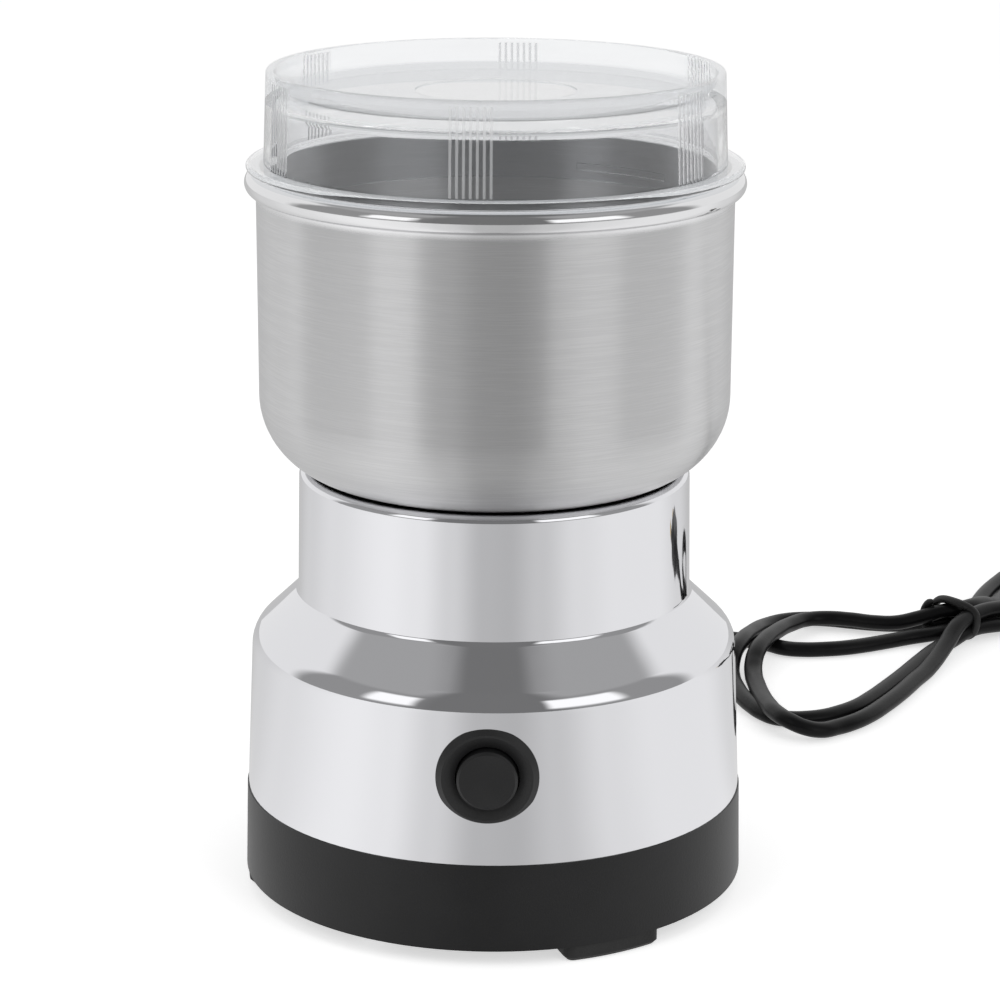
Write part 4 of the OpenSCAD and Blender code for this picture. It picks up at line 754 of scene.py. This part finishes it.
dress("cooling_fan", surface("fan nylon", grain, {
    "Color": (0.70, 0.68, 0.60, 1), "Roughness": 0.45, "Dust": 0.35, "Dust Color": (0.42, 0.40, 0.35, 1)},
    bump=0.00004, Subsurface_Weight=0.15))

# ---------------------------------------------------------------- cord clamp and leads
# Inside the base the cord is held by a screwed bar and splits into insulated leads, which
# run up to the switch and the brushes.
dress("inner_cord", pvc)
dress("cord_clamp", surface("clamp nylon", grain, {"Color": (0.024, 0.024, 0.026, 1), "Roughness": 0.5},
                            bump=0.00003))
for lead, colour in (("live_lead", (0.13, 0.045, 0.018, 1)), ("switched_lead", (0.014, 0.014, 0.015, 1)),
                     ("neutral_lead", (0.022, 0.10, 0.30, 1))):
    dress(lead, surface(f"{lead} PVC", grain, {"Color": colour, "Roughness": 0.36, "Dust": 0.05},
                        bump=0.00001))

# ---------------------------------------------------------------- cup
# Drawn from thin steel sheet and brushed around on the lathe; the edge is rolled outwards
# over a bead and polished. The cup stands on a black rubber disc.
cup_polish_from, cup_polish_full, cup_wall_r = 0.1389, 0.1399, 0.0457


def brushed_around():
    """Brushing around the Z axis: long fine scratches, slow bands, and a polished zone above
    the height Polished From. Inside the radius Wall Radius it isn't polished, and faces that
    look inwards have the Inside Roughness."""
    group, given, made = new_effect("brushed around", {
        "Roughness": 0.3, "Polished Roughness": 0.08, "Scratches per Metre": 5000.0, "Contrast": 0.2,
        "Polished From": 10.0, "Polished Full": 11.0, "Wall Radius": 0.0, "Inside Roughness": 0.3,
        "Color": (0.7, 0.7, 0.7, 1), "Scratch Color": (0.75, 0.75, 0.75, 1),
        "Polished Color": (0.85, 0.85, 0.85, 1)}, ("Color", "Roughness", "Height"))
    x, y, z = axes_of(group, "Object")
    radius = off_axis(group, x, y)
    across = calc(group, "ADD", z, radius)

    def scratches(along_scale, across_scale):
        return noise(group, joined(group, calc(group, "MULTIPLY", x, along_scale),
                                   calc(group, "MULTIPLY", y, along_scale),
                                   calc(group, "MULTIPLY", across, across_scale)), scale=1, detail=3)

    fine = scratches(along_scale=110.0, across_scale=given["Scratches per Metre"])
    broad = scratches(along_scale=45.0, across_scale=700.0)
    mixed = calc(group, "MULTIPLY_ADD", fine, 0.6, calc(group, "MULTIPLY", broad, 0.4))
    polished = calc(group, "DIVIDE", calc(group, "SUBTRACT", z, given["Polished From"]),
                    calc(group, "SUBTRACT", given["Polished Full"], given["Polished From"]))
    polished = calc(group, "MINIMUM", calc(group, "MAXIMUM", polished, 0.0), 1.0)
    outside = calc(group, "GREATER_THAN", radius, given["Wall Radius"])
    polished = calc(group, "MULTIPLY", polished, outside)
    unpolished = calc(group, "SUBTRACT", 1.0, polished)
    normal = group.nodes.new("ShaderNodeNewGeometry").outputs["Normal"]
    inwards = calc(group, "LESS_THAN", dot(group, joined(group, x, y, 0), normal), -0.015)
    inside = calc(group, "MULTIPLY", inwards, calc(group, "SUBTRACT", 1.0, outside))
    gloss = blended(group, inside, given["Roughness"], given["Inside Roughness"])
    gloss = blended(group, polished, gloss, given["Polished Roughness"])
    swing = calc(group, "MULTIPLY", calc(group, "SUBTRACT", mixed, 0.5), given["Contrast"])
    group.links.new(calc(group, "MULTIPLY_ADD", swing, unpolished, gloss), made["Roughness"])
    group.links.new(calc(group, "MULTIPLY", mixed, unpolished), made["Height"])
    scratched = calc(group, "MULTIPLY", rising(group, mixed, 0.42, 0.62), unpolished)
    steel = tinted(group, scratched, given["Color"], given["Scratch Color"])
    group.links.new(tinted(group, polished, steel, given["Polished Color"]), made["Color"])
    return group


brushed = brushed_around()
cup_steel = surface("brushed steel", brushed, {
    "Color": (0.70, 0.70, 0.705, 1), "Scratch Color": (0.76, 0.76, 0.765, 1),
    "Polished Color": (0.86, 0.86, 0.87, 1), "Roughness": 0.32, "Polished Roughness": 0.06,
    "Scratches per Metre": 5200, "Contrast": 0.14,
    "Polished From": cup_polish_from, "Polished Full": cup_polish_full,
    "Wall Radius": cup_wall_r, "Inside Roughness": 0.38}, bump=0.000004,
    Metallic=1.0, Anisotropic=1.0, Anisotropic_Rotation=0.25)
way = cup_steel.node_tree.nodes.new("ShaderNodeTangent")
way.direction_type, way.axis = "RADIAL", "Z"
cup_steel.node_tree.links.new(way.outputs[0], cup_steel.node_tree.nodes["Principled BSDF"].inputs["Tangent"])
dress("cup", cup_steel)
rubber = surface("seal rubber", grain, {"Color": (0.008, 0.008, 0.008, 1), "Roughness": 0.6,
                                        "Grain per Metre": 1500}, bump=0.00004)
dress("cup_seal", rubber)
dress("shaft_seal", rubber)
bright_steel = surface("bright steel", worked, {
    "Color": (0.62, 0.62, 0.63, 1), "Tarnish Color": (0.5, 0.5, 0.5, 1), "Roughness": 0.2,
    "Along": 2500, "Across": 2500, "Unevenness": 0.08}, bump=0.000006, Metallic=1.0)
dress("cup_screws", bright_steel)

# ---------------------------------------------------------------- blade
# Stamped steel with two twisted wings, ground along its length and bright at the edges, held
# on the shaft by a plated domed nut over a turned spacer.
dress("blade", surface("ground blade", worked, {
    "Color": (0.60, 0.60, 0.61, 1), "Tarnish Color": (0.46, 0.46, 0.46, 1), "Roughness": 0.26,
    "Along": 200, "Across": 4500, "Unevenness": 0.18, "Tarnish": 0.35}, bump=0.000012, Metallic=1.0))
dress("blade_spacer", ground)
dress("blade_nut", surface("nut plating", mirror, {"Roughness": 0.06, "Ripple per Metre": 300}, bump=0.00002,
                           Metallic=1.0, Base_Color=(0.66, 0.66, 0.67, 1)))

# ---------------------------------------------------------------- lid
# Clear polystyrene, moulded in one piece: a sunk panel with a round mark, a standing wall
# with six groups of ribs, a flange on the cup's rim and a skirt inside it.
rim_clear, rib_frost, panel_clear, panel_sheen_power = 0.65, 0.42, 0.45, 3.2


def lid_marks():
    """Masks on the lid: its ribs (Rib), the level top of its sunk panel (Panel), and the cove
    and rounded rim around that (Rim). Wall Lean is how fast the wall's radius shrinks upwards."""
    group, given, made = new_effect("lid marks", {
        "Wall Radius": 0.0446, "Wall Foot": 0.14615, "Wall Lean": 0.0365, "Ribs From": 0.1464,
        "Ribs To": 0.1630, "Panel Top": 0.1596, "Cove Z": 0.1577, "Cove Radius": 0.0386},
        ("Rib", "Panel", "Rim"))
    x, y, z = axes_of(group, "Object")
    radius = off_axis(group, x, y)
    leaned_in = calc(group, "MULTIPLY", calc(group, "SUBTRACT", z, given["Wall Foot"]), given["Wall Lean"])
    wall = calc(group, "SUBTRACT", given["Wall Radius"], leaned_in)
    raised = rising(group, calc(group, "SUBTRACT", radius, wall), 0.00008, 0.00018)
    on_wall = calc(group, "MULTIPLY", calc(group, "GREATER_THAN", z, given["Ribs From"]),
                   calc(group, "LESS_THAN", z, given["Ribs To"]))
    group.links.new(calc(group, "MULTIPLY", raised, on_wall), made["Rib"])
    normal = group.nodes.new("ShaderNodeSeparateXYZ")
    group.links.new(group.nodes.new("ShaderNodeNewGeometry").outputs["Normal"], normal.inputs[0])
    level = rising(group, calc(group, "ABSOLUTE", normal.outputs["Z"]), 0.5, 0.9)
    group.links.new(calc(group, "MULTIPLY", level, calc(group, "GREATER_THAN", z, given["Panel Top"])),
                    made["Panel"])
    rim = calc(group, "MULTIPLY", rising(group, calc(group, "SUBTRACT", z, given["Cove Z"]), 0.0, 0.0003),
               rising(group, calc(group, "SUBTRACT", radius, given["Cove Radius"]), 0.0, 0.0007))
    group.links.new(rim, made["Rim"])
    return group


clear = surface("clear polystyrene", mirror, {
    "Roughness": 0.012, "Ripple per Metre": 45.0, "Wipe Marks": 0.03}, bump=0.00008,
    Base_Color=(0.86, 0.865, 0.875, 1), Transmission_Weight=1.0, IOR=1.2, Coat_Weight=1.0,
    Coat_Roughness=0.02, Coat_IOR=1.5)
tree = clear.node_tree
nodes = tree.nodes
marks = nodes.new("ShaderNodeGroup")
marks.node_tree = lid_marks()
frost = nodes.new("ShaderNodeBsdfDiffuse")
frost.inputs["Color"].default_value = (0.80, 0.805, 0.82, 1)
sheen = nodes.new("ShaderNodeBsdfGlossy")
sheen.inputs["Color"].default_value = (0.93, 0.935, 0.945, 1)
sheen.inputs["Roughness"].default_value = 0.03
edge_on = nodes.new("ShaderNodeLayerWeight")
edge_on.inputs["Blend"].default_value = 0.5
rays = nodes.new("ShaderNodeLightPath").outputs
thin = nodes.new("ShaderNodeBsdfTransparent")
thin.inputs["Color"].default_value = (0.95, 0.955, 0.96, 1)
rim = calc(tree, "MULTIPLY", marks.outputs["Rim"], rim_clear)
rib = calc(tree, "MULTIPLY", marks.outputs["Rib"], rib_frost)
panel = calc(tree, "MULTIPLY", marks.outputs["Panel"], panel_clear)
glance = calc(tree, "POWER", edge_on.outputs["Facing"], panel_sheen_power)
glance = calc(tree, "MULTIPLY", marks.outputs["Panel"], glance)
straight_on = calc(tree, "GREATER_THAN", rays["Glossy Depth"], 0.5)
straight_on = calc(tree, "MAXIMUM", rays["Is Shadow Ray"], straight_on)
looks = nodes["Principled BSDF"].outputs[0]
for share, over in ((rim, thin), (rib, frost), (panel, thin), (glance, sheen), (straight_on, thin)):
    looks = layered(tree, share, looks, over.outputs[0])
tree.links.new(looks, nodes["Material Output"].inputs["Surface"])
dress("lid", clear)
